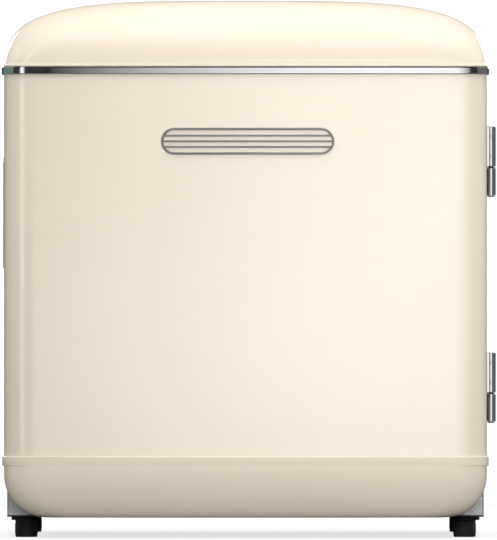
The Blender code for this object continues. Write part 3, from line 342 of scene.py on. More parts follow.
@once
def black_rubber():
    look = Finish("black_rubber", (0.018, 0.018, 0.018), 0.78)
    look.tint(look.span(look.noise(90.0), 0.4, 0.8), (0.04, 0.039, 0.037))
    look.relief(look.noise(1100.0), 0.00015, 0.6)
    return look


@once
def rolled_aluminium():
    """Evaporator sheet: fine rolling lines, a little oxide."""
    look = Finish("rolled_aluminium", (0.66, 0.67, 0.68), 0.36, 1.0)
    lines = look.noise(260.0, 4.0, (1.0, 0.03, 1.0))
    look.shade(look.span(look.noise(20.0, 5.0), 0.45, 0.8), 0.82)
    look.polish(lines, 0.28, 0.46)
    look.relief(lines, 0.00006, 0.5)
    return look


@once
def galvanised_sheet():
    """Hot-dip zinc with its spangle."""
    look = Finish("galvanised_sheet", (0.50, 0.51, 0.52), 0.42, 0.9)
    spangle = look.cells(160.0, "Color")
    look.shade(look.span(spangle, 0.2, 0.9), 0.72)
    look.polish(spangle, 0.32, 0.52)
    look.relief(look.noise(240.0), 0.00008, 0.4)
    return look


@once
def zinc_plate():
    look = Finish("bright_zinc_plate", (0.62, 0.62, 0.60), 0.28, 1.0)
    look.tint(look.span(look.noise(90.0, 4.0), 0.5, 0.8), (0.55, 0.54, 0.47))
    look.polish(look.noise(200.0), 0.2, 0.36)
    return look


@once
def drawn_copper():
    """Copper tube with brown heat marks."""
    look = Finish("drawn_copper", (0.72, 0.32, 0.17), 0.28, 1.0)
    look.tint(look.span(look.noise(55.0, 5.0), 0.5, 0.75), (0.30, 0.13, 0.08))
    look.polish(look.noise(160.0), 0.22, 0.40)
    look.relief(look.noise(500.0), 0.00004, 0.4)
    return look


@once
def shelf_pane():
    """Toughened glass, faintly green."""
    look = Finish("toughened_glass", (0.86, 0.95, 0.92), 0.02, 0.0,
                  {"Transmission Weight": 0.92, "IOR": 1.5})
    look.shade(look.span(look.noise(6.0), 0.4, 0.8), 0.97)
    look.relief(look.noise(12.0, 1.0), 0.0002, 0.1)
    return look


@once
def frosted_plastic():
    """Clear moulded plastic with a light frost."""
    look = Finish("frosted_clear_plastic", (0.84, 0.90, 0.93), 0.22, 0.0,
                  {"Transmission Weight": 0.45, "IOR": 1.49})
    look.shade(look.span(look.noise(25.0), 0.4, 0.8), 0.94)
    look.polish(look.noise(120.0), 0.16, 0.32)
    look.relief(look.noise(700.0), 0.00001, 0.2)
    return look


@once
def rigid_foam():
    look = Finish("rigid_foam", (0.72, 0.60, 0.34), 0.95)
    look.shade(look.span(look.noise(120.0, 5.0), 0.3, 0.7), 0.75)
    look.relief(look.cells(900.0), 0.0006, 0.8)
    return look


@once
def dial_ink():
    look = Finish("dial_ink", (0.10, 0.13, 0.18), 0.5)
    look.shade(look.noise(900.0), 0.8)
    return look


# ---- mesh work -------------------------------------------------------------------------------------
def skin(bm, rings, cyclic=False, caps=True, ring_closed=True):
    """Quads between rings of equally many points, with the ends capped or joined to each other."""
    grid = [[bm.verts.new(point) for point in ring] for ring in rings]
    pairs = list(zip(grid, grid[1:]))
    if cyclic:
        pairs.append((grid[-1], grid[0]))
    count = len(grid[0])
    for one, two in pairs:
        for k in range(count if ring_closed else count - 1):
            after = (k + 1) % count
            bm.faces.new((one[k], one[after], two[after], two[k]))
    if caps and not cyclic:
        bm.faces.new(grid[0])
        bm.faces.new(grid[-1])
    return grid


def solid(rings, cyclic=False):
    bm = bmesh.new()
    skin(bm, rings, cyclic)
    return bm


def lift(axis, a, b, level):
    """A point of a flat drawing, placed at a level along the axis square to it."""
    return {"X": (level, a, b), "Y": (a, level, b), "Z": (a, b, level)}[axis]


def prism(outline, axis, low, high):
    return solid([[lift(axis, a, b, level) for a, b in outline] for level in (low, high)])


def block(low, high):
    (x0, y0, z0), (x1, y1, z1) = low, high
    return prism([(x0, y0), (x1, y0), (x1, y1), (x0, y1)], "Z", z0, z1)


def circle(radius, a=0.0, b=0.0, count=48):
    return [(a + radius * cos(2 * pi * k / count), b + radius * sin(2 * pi * k / count))
            for k in range(count)]


def round_box(low, high, radius, steps=6):
    """Flat rectangle with round corners, from its lowest and highest corner."""
    (a0, b0), (a1, b1) = low, high
    radius = min(radius, (a1 - a0) / 2, (b1 - b0) / 2)
    points = []
    for ca, cb, start in ((a1 - radius, b0 + radius, -90), (a1 - radius, b1 - radius, 0),
                          (a0 + radius, b1 - radius, 90), (a0 + radius, b0 + radius, 180)):
        for k in range(steps + 1):
            angle = radians(start + 90 * k / steps)
            points.append((ca + radius * cos(angle), cb + radius * sin(angle)))
    return points


def turned(profile, a, b, axis="Z", count=48):
    """Solid of revolution from (radius, height) pairs, about a line through a and b."""
    return solid([[lift(axis, p, q, height) for p, q in circle(max(radius, 1e-5), a, b, count)]
                  for radius, height in profile])


def fillet(centre, radius, start, end, steps=5):
    """Points along an arc, from one angle to another in degrees."""
    return [(centre[0] + radius * cos(radians(start + (end - start) * k / steps)),
             centre[1] + radius * sin(radians(start + (end - start) * k / steps)))
            for k in range(steps + 1)]


def shelled(low, high, wall, corner, foot, axis="Z"):
    """An open box with round corners, a filleted floor and a rounded rim.

    low and high are its corners. It is open at the high end of the axis.
    """
    order = {"X": (1, 2, 0), "Y": (0, 2, 1), "Z": (0, 1, 2)}[axis]
    (a0, a1), (b0, b1), (base, rim) = [(low[k], high[k]) for k in order]
    depth = 1.0 if rim > base else -1.0
    lip = wall / 2
    height = abs(rim - base)
    outer = [(foot * (1 - sin(radians(t))), foot * (1 - cos(radians(t)))) for t in (0, 22, 45, 67, 90)]
    edge = [(lip - lip * cos(radians(t)), height - lip + lip * sin(radians(t)))
            for t in (0, 45, 90, 135, 180)]
    inner = [(wall + foot * (1 - cos(radians(t))), wall + foot * (1 - sin(radians(t))))
             for t in (0, 30, 60, 90)]
    rings = []
    for inset, level in outer + edge + inner:
        flat = round_box((a0 + inset, b0 + inset), (a1 - inset, b1 - inset),
                         max(corner - inset, 0.0008))
        rings.append([lift(axis, a, b, base + depth * level) for a, b in flat])
    return solid(rings)


def merged(bm):
    bmesh.ops.remove_doubles(bm, verts=bm.verts, dist=1e-6)
    bmesh.ops.recalc_face_normals(bm, faces=bm.faces)
    return bm


def joined(*parts):
    """Several closed shapes in one mesh."""
    whole = bmesh.new()
    for part in parts:
        mesh = bpy.data.meshes.new("part")
        merged(part).to_mesh(mesh)
        whole.from_mesh(mesh)
        part.free()
        bpy.data.meshes.remove(mesh)
    return whole


def loose_object(name, bm):
    mesh = bpy.data.meshes.new(name)
    merged(bm).to_mesh(mesh)
    bm.free()
    thing = bpy.data.objects.new(name, mesh)
    bpy.context.scene.collection.objects.link(thing)
    return thing


def settled(thing):
    """The evaluated mesh of an object, which is then removed."""
    bpy.context.view_layer.update()
    evaluated = thing.evaluated_get(bpy.context.evaluated_depsgraph_get())
    mesh = bpy.data.meshes.new_from_object(evaluated)
    bpy.data.objects.remove(thing)
    return mesh


def from_mesh(mesh):
    """A mesh as a bmesh; the mesh itself is removed."""
    bm = bmesh.new()
    bm.from_mesh(mesh)
    bpy.data.meshes.remove(mesh)
    return bm


def combined(bm, tools, operation="DIFFERENCE"):
    """Cuts solids away from a shape, or joins them on."""
    body = loose_object("body", bm)
    cutters = [loose_object("tool", tool) for tool in tools]
    for cutter in cutters:
        step = body.modifiers.new("step", "BOOLEAN")
        step.operation = operation
        step.solver = "EXACT"
        step.object = cutter
    result = from_mesh(settled(body))
    for cutter in cutters:
        bpy.data.objects.remove(cutter)
    return result


def frame_copy(*nodes):
    """A merged copy of frame nodes, in fridge coordinates, its flat faces whole again."""
    bm = bmesh.new()
    for node in nodes:
        bm.from_mesh(frame["nodes"][node].data)
    bmesh.ops.remove_doubles(bm, verts=bm.verts, dist=2e-6)
    bmesh.ops.dissolve_limit(bm, angle_limit=radians(0.6), verts=bm.verts, edges=bm.edges)
    bmesh.ops.translate(bm, verts=bm.verts, vec=-MIDDLE)
    return bm


def claim(piece, body, stands_for=()):
    """Parents a finished piece to its body and hides the frame nodes it stands for."""
    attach(piece, body)
    if stands_for:
        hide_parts(*stands_for)
    return piece


def deliver(name, bm, look, body, stands_for=(), soft=0.0, sharp=35.0, segments=2):
    """Makes a finished piece of a mesh drawn in fridge coordinates."""
    merged(bm)
    bmesh.ops.translate(bm, verts=bm.verts, vec=MIDDLE)
    mesh = bpy.data.meshes.new(name)
    bm.to_mesh(mesh)
    bm.free()
    mesh.shade_smooth()
    mesh.set_sharp_from_angle(angle=radians(sharp))
    mesh.materials.append(look)
    piece = bpy.data.objects.new(name, mesh)
    bpy.context.scene.collection.objects.link(piece)
    if soft:
        edge = piece.modifiers.new("soft_edges", "BEVEL")
        edge.width = soft
        edge.segments = segments
        edge.limit_method = "ANGLE"
        edge.angle_limit = radians(sharp)
        edge.harden_normals = True
    return claim(piece, body, stands_for)


def softened_node(node, look, soft=None, body="cabinet", segments=2):
    """The frame's own shape with its edges rounded."""
    return deliver(f"{node}_finished", frame_copy(node), look, body, (node,),
                   soft or sizes().soft_edge, 30.0, segments)


# ---- geometry node trees ---------------------------------------------------------------------------
SOCKETS = {"float": "NodeSocketFloat", "int": "NodeSocketInt", "vector": "NodeSocketVector",
           "object": "NodeSocketObject", "material": "NodeSocketMaterial",
           "geometry": "NodeSocketGeometry"}


class Growth:
    """A geometry node tree with named inputs, which ends in Realize Instances and Set Material."""

    def __init__(self, name, inputs):
        self.tree = bpy.data.node_groups.new(name, "GeometryNodeTree")
        self.ids = {}
        for label, kind in {"Geometry": "geometry", **inputs, "Finish": "material"}.items():
            socket = self.tree.interface.new_socket(label, in_out="INPUT", socket_type=SOCKETS[kind])
            self.ids[label] = socket.identifier
        self.tree.interface.new_socket("Geometry", in_out="OUTPUT", socket_type=SOCKETS["geometry"])
        self.start = self.tree.nodes.new("NodeGroupInput")

    def add(self, kind, settings=None, **wires):
        """A node, its settings, and what feeds its inputs: a socket or a plain value."""
        node = self.tree.nodes.new(kind)
        for label, value in (settings or {}).items():
            setattr(node, label, value)
        for label, source in wires.items():
            socket = node.inputs[label.replace("_", " ")]
            if isinstance(source, bpy.types.NodeSocket):
                self.tree.links.new(source, socket)
            else:
                socket.default_value = source
        return node

    def end(self, geometry):
        real = self.add("GeometryNodeRealizeInstances", Geometry=geometry)
        smooth = self.add("GeometryNodeSetShadeSmooth", Geometry=real.outputs["Geometry"])
        painted = self.add("GeometryNodeSetMaterial", Geometry=smooth.outputs["Geometry"],
                           Material=self.start.outputs["Finish"])
        out = self.tree.nodes.new("NodeGroupOutput")
        self.tree.links.new(painted.outputs["Geometry"], out.inputs["Geometry"])
        return self

    def grow(self, name, mesh, values):
        """Runs the tree on a mesh drawn in fridge coordinates and returns a plain object."""
        seed = bpy.data.objects.new(name, mesh)
        bpy.context.scene.collection.objects.link(seed)
        step = seed.modifiers.new("growth", "NODES")
        step.node_group = self.tree
        for label, value in values.items():
            step[self.ids[label]] = value
        grown = settled(seed)
        grown.transform(Matrix.Translation(MIDDLE))
        grown.name = name
        if not grown.materials:
            grown.materials.append(values["Finish"])
        piece = bpy.data.objects.new(name, grown)
        bpy.context.scene.collection.objects.link(piece)
        return piece


def tube_growth():
    """A round tube along the object's own polyline."""
    tree = Growth("tube_along_a_path", {"Radius": "float", "Sides": "int"})
    line = tree.add("GeometryNodeMeshToCurve", Mesh=tree.start.outputs["Geometry"])
    ring = tree.add("GeometryNodeCurvePrimitiveCircle", Resolution=tree.start.outputs["Sides"],
                    Radius=tree.start.outputs["Radius"])
    tube = tree.add("GeometryNodeCurveToMesh", Curve=line.outputs["Curve"],
                    Profile_Curve=ring.outputs["Curve"], Fill_Caps=True)
    return tree.end(tube.outputs["Mesh"])


def row_growth():
    """Equal round bars side by side along a line."""
    tree = Growth("row_of_bars", {"Count": "int", "First": "vector", "Step": "vector",
                                  "Radius": "float", "Length": "float", "Turn": "vector"})
    given = tree.start.outputs
    line = tree.add("GeometryNodeMeshLine", {"mode": "OFFSET"}, Count=given["Count"],
                    Start_Location=given["First"], Offset=given["Step"])
    bar = tree.add("GeometryNodeMeshCylinder", Vertices=8, Radius=given["Radius"],
                   Depth=given["Length"])
    row = tree.add("GeometryNodeInstanceOnPoints", Points=line.outputs["Mesh"],
                   Instance=bar.outputs["Mesh"], Rotation=given["Turn"])
    return tree.end(row.outputs["Instances"])


def scatter_growth():
    """A template on every point, its Z turned along the point's own facing attribute."""
    tree = Growth("template_on_points", {"Template": "object"})
    source = tree.add("GeometryNodeObjectInfo", Object=tree.start.outputs["Template"])
    facing = tree.add("GeometryNodeInputNamedAttribute", {"data_type": "FLOAT_VECTOR"},
                      Name="facing")
    turn = tree.add("FunctionNodeAlignRotationToVector", {"axis": "Z"},
                    Vector=facing.outputs["Attribute"])
    copies = tree.add("GeometryNodeInstanceOnPoints", Points=tree.start.outputs["Geometry"],
                      Instance=source.outputs["Geometry"], Rotation=turn.outputs["Rotation"])
    return tree.end(copies.outputs["Instances"])


ALONG_X = (0.0, pi / 2, 0.0)        # how an upright bar is turned to lie along an axis
ALONG_Y = (pi / 2, 0.0, 0.0)
UPRIGHT = (0.0, 0.0, 0.0)


def path_mesh(name, points):
    mesh = bpy.data.meshes.new(name)
    mesh.from_pydata(points, [(k, k + 1) for k in range(len(points) - 1)], [])
    return mesh


def tube(name, points, radius, look, body, slot, stands_for=(), sides=16):
    """A round tube along a path, as a finished piece."""
    values = {"Radius": radius, "Sides": sides, "Finish": look}
    piece = tube_growth().grow(name, path_mesh(name, points), values)
    piece.data.set_sharp_from_angle(angle=radians(50.0))
    return claim(piece, body, stands_for)


def bars(name, first, step, count, radius, length, turn, look, body):
    """A row of round bars, the first one's middle at first, as a finished piece."""
    values = {"Count": count, "First": first, "Step": step, "Radius": radius, "Length": length,
              "Turn": turn, "Finish": look}
    piece = row_growth().grow(name, bpy.data.meshes.new(name), values)
    piece.data.set_sharp_from_angle(angle=radians(50.0))
    return claim(piece, body)


def bent(points, radius, steps=10):
    """A polyline with every corner rounded to a radius."""
    path = [Vector(points[0])]
    for before, here, after in zip(points, points[1:], points[2:]):
        here = Vector(here)
        one, two = (Vector(before) - here).normalized(), (Vector(after) - here).normalized()
        half = one.angle(two) / 2
        reach = radius / tan(half)
        centre = here + (one + two).normalized() * (radius / sin(half))
        start, end = (here + side * reach - centre for side in (one, two))
        path += [centre + start.slerp(end, k / steps) * radius for k in range(steps + 1)]
    path.append(Vector(points[-1]))
    return path


# ---- the outline that door and top share -----------------------------------------------------------
def dome_half(height, half, rise):
    """Half width of the arch at a height over its springing line."""
    return half * (1 - min(max(height, 0.0) / rise, 1.0) ** DOME_POWER) ** (1 / DOME_POWER)


def arch(half, rise, start, steps):
    """Right half of the arch as (x, z), from a height over its springing line up to the crest's edge.

    The points stand at even steps along it, picked from a finely drawn curve.
    """
    fine = 1600
    first = (start / rise) ** (DOME_POWER / 2)
    angles = [first + (pi / 2 - first) * k / fine for k in range(fine + 1)]
    power = 2 / DOME_POWER
    curve = [(half * max(cos(a), 0.0) ** power, rise * sin(a) ** power) for a in angles]
    curve[0] = (dome_half(start, half, rise), start)
    curve = [p for p in curve if p[0] >= half * DOME_FLAT]
    length = [0.0]
    for one, two in zip(curve, curve[1:]):
        length.append(length[-1] + hypot(two[0] - one[0], two[1] - one[1]))
    picked, index = [], 0
    for k in range(steps + 1):
        target = length[-1] * k / steps
        while index < len(length) - 1 and length[index] < target:
            index += 1
        picked.append((curve[index][0], DOME_SPRING + curve[index][1]))
    return picked


def both_sides(right):
    return right + [(-x, z) for x, z in reversed(right)]


def face_y(x, proud=0.0):
    """Where the front face is, across the door's flat part."""
    return FACE_Y - proud + FRONT_CROWN * (x / DOOR_HALF) ** 2


def bead_profile():
    """The rolled lower edge of the dome just over the band, as (height over the band, proud)."""
    bead = sizes().bead
    return [(0.0001, 0.0), (0.0003, 0.55 * bead), (0.0007, 0.92 * bead), (0.0012, bead),
            (0.0017, 0.85 * bead), (0.0022, 0.55 * bead), (0.0028, 0.22 * bead), (0.0036, 0.0)]


def rib_profile():
    """The moulded rib round the door, as (height, how far it stands proud)."""
    round_low = fillet((0.0, 0.0), RIB_ROUND, -90, 0, 4)
    low = [(RIB_LOW, 0.0)]
    low += [(RIB_LOW + RIB_ROUND + dz, RIB_PROUD - RIB_ROUND + dx) for dx, dz in round_low]
    mirror = 2 * RIB_LOW + RIB_HEIGHT
    return low + [(mirror - z, proud) for z, proud in reversed(low)]


def door_levels(inset):
    """Heights up the door, each with its half width and how far it stands proud."""
    corner, half, rise = LOWER_CORNER - inset, DOOR_HALF - inset, DOME_RISE - inset
    levels = []
    for k in range(CORNER_STEPS + 1):
        angle = pi / 2 * k / CORNER_STEPS
        levels.append((BODY_BOTTOM + LOWER_CORNER - corner * cos(angle),
                       DOOR_HALF - LOWER_CORNER + corner * sin(angle), 0.0))
    start = levels[-1][0]
    levels += [(start + (RIB_LOW - start) * k / 4, half, 0.0) for k in range(1, 4)]
    for z, proud in rib_profile():
        out = proud if inset == 0 else 0.0
        levels.append((z, half + out, out))
    start = RIB_LOW + RIB_HEIGHT
    levels += [(start + (DOME_SPRING - start) * k / 10, half, 0.0) for k in range(1, 10)]
    levels += [(z, dome_half(z - DOME_SPRING, half, rise), 0.0) for z in (DOME_SPRING, BAND_LOW, BAND_TOP)]
    for height, proud in bead_profile():
        z = BAND_TOP + height
        out = proud if inset == 0 else 0.0
        levels.append((z, dome_half(z - DOME_SPRING, half, rise) + out, out))
    last = levels[-1][0]
    levels += [(z, x, 0.0) for x, z in arch(half, rise, 0.0, 64) if z > last + 0.0005]
    return levels


def door_depth(z, inset, out):
    """Depth of the door at a height, and the share of the dome's roll that has been climbed."""
    roll_middle = BODY_BOTTOM + ROLL_HEIGHT
    if z < roll_middle:
        share = min((roll_middle - z) / (ROLL_HEIGHT - inset), 1.0)
        rolled = (1 - share ** ROLL_POWER) ** (1 / ROLL_POWER)
        return DOOR_DEPTH - ROLL_DEPTH + (ROLL_DEPTH - inset) * rolled, 0.0
    if z <= BAND_TOP:
        return DOOR_DEPTH + (out if out > 0 else -inset), 0.0
    share = min((z - BAND_TOP) / (TOP_HEIGHT - inset - BAND_TOP), 1.0)
    return CREST_DEPTH - inset + out + (DOOR_DEPTH - CREST_DEPTH) * sqrt(1 - share ** 2), share


def door_section(half, depth, climb, inset=0.0, start=0.0, rim=0.0):
    """Plan of the door at one height, from its right back edge round the front to its left."""
    across, back = FRONT_EDGE - inset, FRONT_EDGE_DEPTH - inset
    corner_x = across + (DOME_SPREAD * half - across) * climb ** 2
    corner_y = min(back + (DOME_BODY * depth - back) * climb, DOME_BODY * (depth - start))
    crown = FRONT_CROWN * depth / DOOR_DEPTH
    right = [(half - rim, start), (half - rim * 0.3, start + rim * 0.3), (half, start + rim)]
    for k in range(CORNER_STEPS + 1):
        angle = pi / 2 * k / CORNER_STEPS
        right.append((half - corner_x + corner_x * cos(angle), depth - corner_y + corner_y * sin(angle)))
    flat = half - corner_x
    right += [(flat * (1 - k / 12), depth) for k in range(1, 12)]
    points = right + [(0.0, depth)] + [(-x, y) for x, y in reversed(right)]
    return [(x, -DOOR_GAP - y + crown * (x / half) ** 2 * (y / depth) ** 2) for x, y in points]


def door_rings(inset, start=0.0, rim=0.0):
    """The door's plans, one for each height."""
    rings = []
    for z, half, out in door_levels(inset):
        depth, climb = door_depth(z, inset, out)
        rings.append([(x, y, z) for x, y in door_section(half, depth, climb, inset, start, rim)])
    return rings


# ---- door ------------------------------------------------------------------------------------------
def grip_block():
    """The hole in the skin for the finger recess."""
    low, high = extent("grip_cup")
    edge = GRIP_FLANGE - FIT
    return block((low.x - 0.01, low.y + edge, low.z + edge), (high.x + FIT, high.y - edge, high.z - edge))


def make_door_skin():
    """Pressed skin with its dome, moulded rib and rolled lower edge."""
    bm = bmesh.new()
    rims = []
    for rings in (door_rings(0.0, 0.0, 0.0008), door_rings(SHELL_WALL, 0.0, 0.0004)):
        grid = skin(bm, rings, ring_closed=False)
        rims.append([row[0] for row in grid] + [row[-1] for row in reversed(grid)])
    outer, inner = rims
    for k, vert in enumerate(outer):
        after = (k + 1) % len(outer)
        bm.faces.new((vert, outer[after], inner[after], inner[k]))
    cut = combined(bm, [grip_block()])
    deliver("door_skin", cut, cream_paint(), "door", ("door_outer_shell",), sharp=38.0)


def make_chrome_band():
    """Chrome strip round the door's sides and face, its edges rolled over."""
    rolled = 0.0006
    low, top = BAND_LOW, BAND_TOP
    profile = [(FIT, low), (BAND_PROUD - rolled, low)]
    profile += fillet((BAND_PROUD - rolled, low + rolled), rolled, -90, 0, 3)[1:]
    profile += fillet((BAND_PROUD - rolled, top - rolled), rolled, 0, 90, 3)
    profile += [(FIT, top)]
    plans = [door_section(DOOR_HALF + out, DOOR_DEPTH + out, 0.0, -out) for out, _ in profile]
    rings = [[(*plan[k], z) for plan, (_, z) in zip(plans, profile)]
             for k in range(2, len(plans[0]) - 2)]
    deliver("chrome_trim_band", solid(rings), mirror_chrome(), "door", ("chrome_band",))


# Half of a strip's width across, and its share of the height: a flat top with soft shoulders.
STRIP_SECTION = ((-0.5, 0.0), (-0.5, 0.6), (-0.38, 1.0), (0.38, 1.0), (0.5, 0.6), (0.5, 0.0))


def strip_on_face(path, width, thick, closed):
    """A raised flat strip with soft shoulders that follows a path on the door's face."""
    rings = []
    count = len(path)
    for k, (x, z) in enumerate(path):
        before = path[k - 1] if k or closed else path[0]
        after = path[(k + 1) % count] if k < count - 1 or closed else path[-1]
        along = Vector((after[0] - before[0], after[1] - before[1])).normalized()
        side = Vector((-along.y, along.x))
        ring = []
        for across, proud in STRIP_SECTION:
            px, pz = x + side.x * across * width, z + side.y * across * width
            ring.append((px, face_y(px, FIT + proud * thick), pz))
        rings.append(ring)
    return solid(rings, closed)


def stepped(outline, longest):
    """A closed outline with points added until no step is longer than that."""
    along = []
    for point, after in zip(outline, outline[1:] + outline[:1]):
        steps = ceil(hypot(after[0] - point[0], after[1] - point[1]) / longest - 1e-4)
        along += [(point[0] + (after[0] - point[0]) * i / steps,
                   point[1] + (after[1] - point[1]) * i / steps) for i in range(steps)]
    return along


def make_plaque():
    """Plain pill-shaped ring with three bars, where a maker would put a badge."""
    low, high = extent("badge")
    middle, half, reach = (low.z + high.z) / 2, (high.z - low.z) / 2, (high.x - low.x) / 2
    centre = (low.x + high.x) / 2
    thick, rim, bar, bar_pitch = 0.0014, 0.0021, 0.0017, 0.0052
    pill = round_box((-reach + rim / 2, -half + rim / 2), (reach - rim / 2, half - rim / 2), half, 16)
    pill = stepped([(centre + x, middle + z) for x, z in pill], 0.006)
    parts = [strip_on_face(pill, rim, thick, True)]
    for offset in (-bar_pitch, 0.0, bar_pitch):
        run = reach - half + sqrt((half - rim) ** 2 - offset ** 2) + rim / 4
        line = [(centre + run * (k / 20 - 1), middle + offset) for k in range(41)]
        parts.append(strip_on_face(line, bar, thick * 0.8, False))
    whole = combined(parts[0], parts[1:], "UNION")
    deliver("plain_plaque", whole, satin_metal(), "door", ("badge",), sharp=50.0)


def make_grip_cup():
    """Moulded finger recess with a rounded flange on the door's side."""
    low, high = extent("grip_cup")
    flange, wall, face = GRIP_FLANGE, 0.002, low.x + 0.0008
    foot, lip = 0.006, 0.0015
    levels = [(0.0, low.x + lip), (0.0003, face + 0.0004), (0.0012, face)]
    levels += [(flange - 0.0006, face), (flange + 0.0006, face + 0.0004), (flange + 0.0016, face + 0.0016)]
    levels += [(flange + wall, face + 0.005), (flange + wall, high.x - wall - foot)]
    levels += [(flange + wall + foot * (1 - cos(radians(t))), high.x - wall - foot + foot * sin(radians(t)))
               for t in (20, 40, 60, 80, 90)]
    outside = [(flange, low.x + lip), (flange, high.x - 0.003), (flange + 0.003, high.x)]
    rings = []
    for inset, x in list(reversed(outside)) + levels:
        flat = round_box((low.y + inset, low.z + inset), (high.y - inset, high.z - inset), 0.008)
        rings.append([(x, a, b) for a, b in flat])
    deliver("finger_recess", solid(rings), cream_paint(), "door", ("grip_cup",))


def make_door_foam():
    """Foam core that fills the skin."""
    core = solid(door_rings(SHELL_WALL + FIT, SHELL_WALL + FIT))
    whole = combined(core, [grip_block()])
    deliver("door_foam_core", whole, rigid_foam(), "door", ("door_foam",))


def raised_panel(low, high, radius, steps):
    """A pad that stands up along y, with a rounded plan that shrinks as it rises."""
    rings = []
    for shrink, y in steps:
        flat = round_box((low[0] + shrink, low[1] + shrink), (high[0] - shrink, high[1] - shrink), radius)
        rings.append([(a, y, b) for a, b in flat])
    return solid(rings)


def make_door_lining():
    """Moulded back plate of the door: raised ribs, and the two ridges that carry the racks."""
    back = -DOOR_GAP
    outline = both_sides([(half, z) for z, half, _ in door_levels(SHELL_WALL + FIT)])
    plate = prism(outline, "Y", back - SHELL_WALL, back)
    top = extent("door_inner_liner")[1].y
    ridge_in = extent("bottle_rack")[1].x + 0.001
    ridge_out, ridge_low, ridge_high = ridge_in + 0.014, 0.082, 0.322
    ridge_rise = ((0.0, back - SHELL_WALL / 2), (0.0, top - 0.004), (0.0007, top - 0.0016),
                  (0.0022, top - 0.0004), (0.004, top))
    tools = []
    for side in (-1, 1):
        left, right = sorted((side * ridge_in, side * ridge_out))
        tools.append(raised_panel((left, ridge_low), (right, ridge_high), 0.005, ridge_rise))
    rib_reach = 0.150
    rib_rise = ((0.0, back - SHELL_WALL / 2), (0.0, back + 0.0006), (0.001, back + 0.0018),
                (0.0028, back + 0.0024))
    for low, high in ((0.070, 0.0786), (0.3265, 0.335), (0.340, 0.3485), (0.3535, 0.362)):
        tools.append(raised_panel((-rib_reach, low), (rib_reach, high), 0.004, rib_rise))
    whole = combined(plate, tools, "UNION")
    deliver("door_lining", whole, lining_plastic(), "door", ("door_inner_liner",), 0.0007)


def make_gasket():
    """Soft seal: magnet strip, bellows and a lip, swept round the opening."""
    low, high = extent("door_gasket")
    near, far = low.y, high.y
    deep = far - near
    base = ((0.000, 0.00), (0.016, 0.00), (0.016, 0.12))
    outer_folds = ((0.0135, 0.20), (0.0150, 0.34), (0.0128, 0.46), (0.0150, 0.58), (0.0145, 0.70))
    magnet_strip = ((0.0160, 0.78), (0.0160, 0.97), (0.0155, 1.00), (0.0045, 1.00), (0.0040, 0.97),
                    (0.0040, 0.78))
    inner_folds = ((0.0052, 0.70), (0.0030, 0.58), (0.0048, 0.46), (0.0022, 0.34), (0.0030, 0.20),
                   (0.0000, 0.12))
    rings = []
    for inset, share in base + outer_folds + magnet_strip + inner_folds:
        flat = round_box((low.x + inset, low.z + inset), (high.x - inset, high.z - inset),
                         0.028 - inset, 12)
        rings.append([(a, near + share * deep, b) for a, b in flat])
    deliver("bellows_seal", solid(rings, True), soft_seal(), "door", ("door_gasket",), sharp=60.0)


def make_racks():
    """Open trays on the door's ridges, each with a chrome bar across its front."""
    for name in ("bottle_rack", "upper_rack"):
        low, high = extent(name)
        tray = shelled(low, high, 0.0022, 0.009, 0.004)
        deliver(f"{name}_tray", tray, frosted_plastic(), "door", (name,))
        count, margin = 9, 0.02
        first = (low.x + margin, (low.y + high.y) / 2, low.z + 0.0022)
        step = ((high.x - low.x - 2 * margin) / (count - 1), 0.0, 0.0)
        bars(f"{name}_floor_ribs", first, step, count, 0.0011, high.y - low.y - 0.012, ALONG_Y,
             frosted_plastic(), "door")
        make_rack_bar(f"{name}_bar")


def make_rack_bar(node):
    low, high = extent(node)
    radius = (high.y - low.y) / 2
    y, reach = (low.y + high.y) / 2, high.x - radius
    rail = high.z - radius
    corners = [(-reach, y, low.z), (-reach, y, rail), (reach, y, rail), (reach, y, low.z)]
    tube(f"{node}_rail", bent(corners, 0.008), radius, mirror_chrome(), "door", "chrome", (node,), 20)


# ---- hinges ----------------------------------------------------------------------------------------
# The pins stand just outside the door's side, in the middle of the gap behind the door.
HINGE_X = DOOR_HALF + 0.0045
HINGE_Y = -DOOR_GAP / 2
KNUCKLE = 0.0044
PIN_BORE = 0.0026
LEAF = 0.0032


def leaf_outline(near, far_edge, way):
    """Plan of a hinge leaf: knuckle round the axis, and a plate running forwards (-1) or back (1)."""
    far = near + LEAF
    points = [(near, way * far_edge), (far - 0.0008, way * far_edge), (far, way * (far_edge - 0.0008))]
    start = atan2(sqrt(KNUCKLE ** 2 - far ** 2), far)
    steps = 36
    for k in range(steps + 1):
        angle = start - (start + pi - 0.3) * k / steps
        points.append((KNUCKLE * cos(angle), way * KNUCKLE * sin(angle)))
    points.append((near, way * KNUCKLE * 0.75))
    return [(HINGE_X + x, HINGE_Y + y) for x, y in points]


def make_hinges():
    """Four chrome leaves, their pins and washers."""
    for hinge in ("lower_hinge", "upper_hinge"):
        for leaf, way, body in (("cabinet_leaf", 1, "cabinet"), ("door_leaf", -1, "door")):
            node = f"{hinge}_{leaf}"
            low, high = extent(node)
            reach = high.y - HINGE_Y if way > 0 else HINGE_Y - low.y
            shape = prism(leaf_outline(low.x - HINGE_X, reach, way), "Z", low.z, high.z)
            bore = prism(circle(PIN_BORE, HINGE_X, HINGE_Y, 28), "Z", low.z - 0.01, high.z + 0.01)
            deliver(f"{node}_chromed", combined(shape, [bore]), mirror_chrome(), body, (node,),
                    0.0004, segments=3)
        make_pin(hinge)


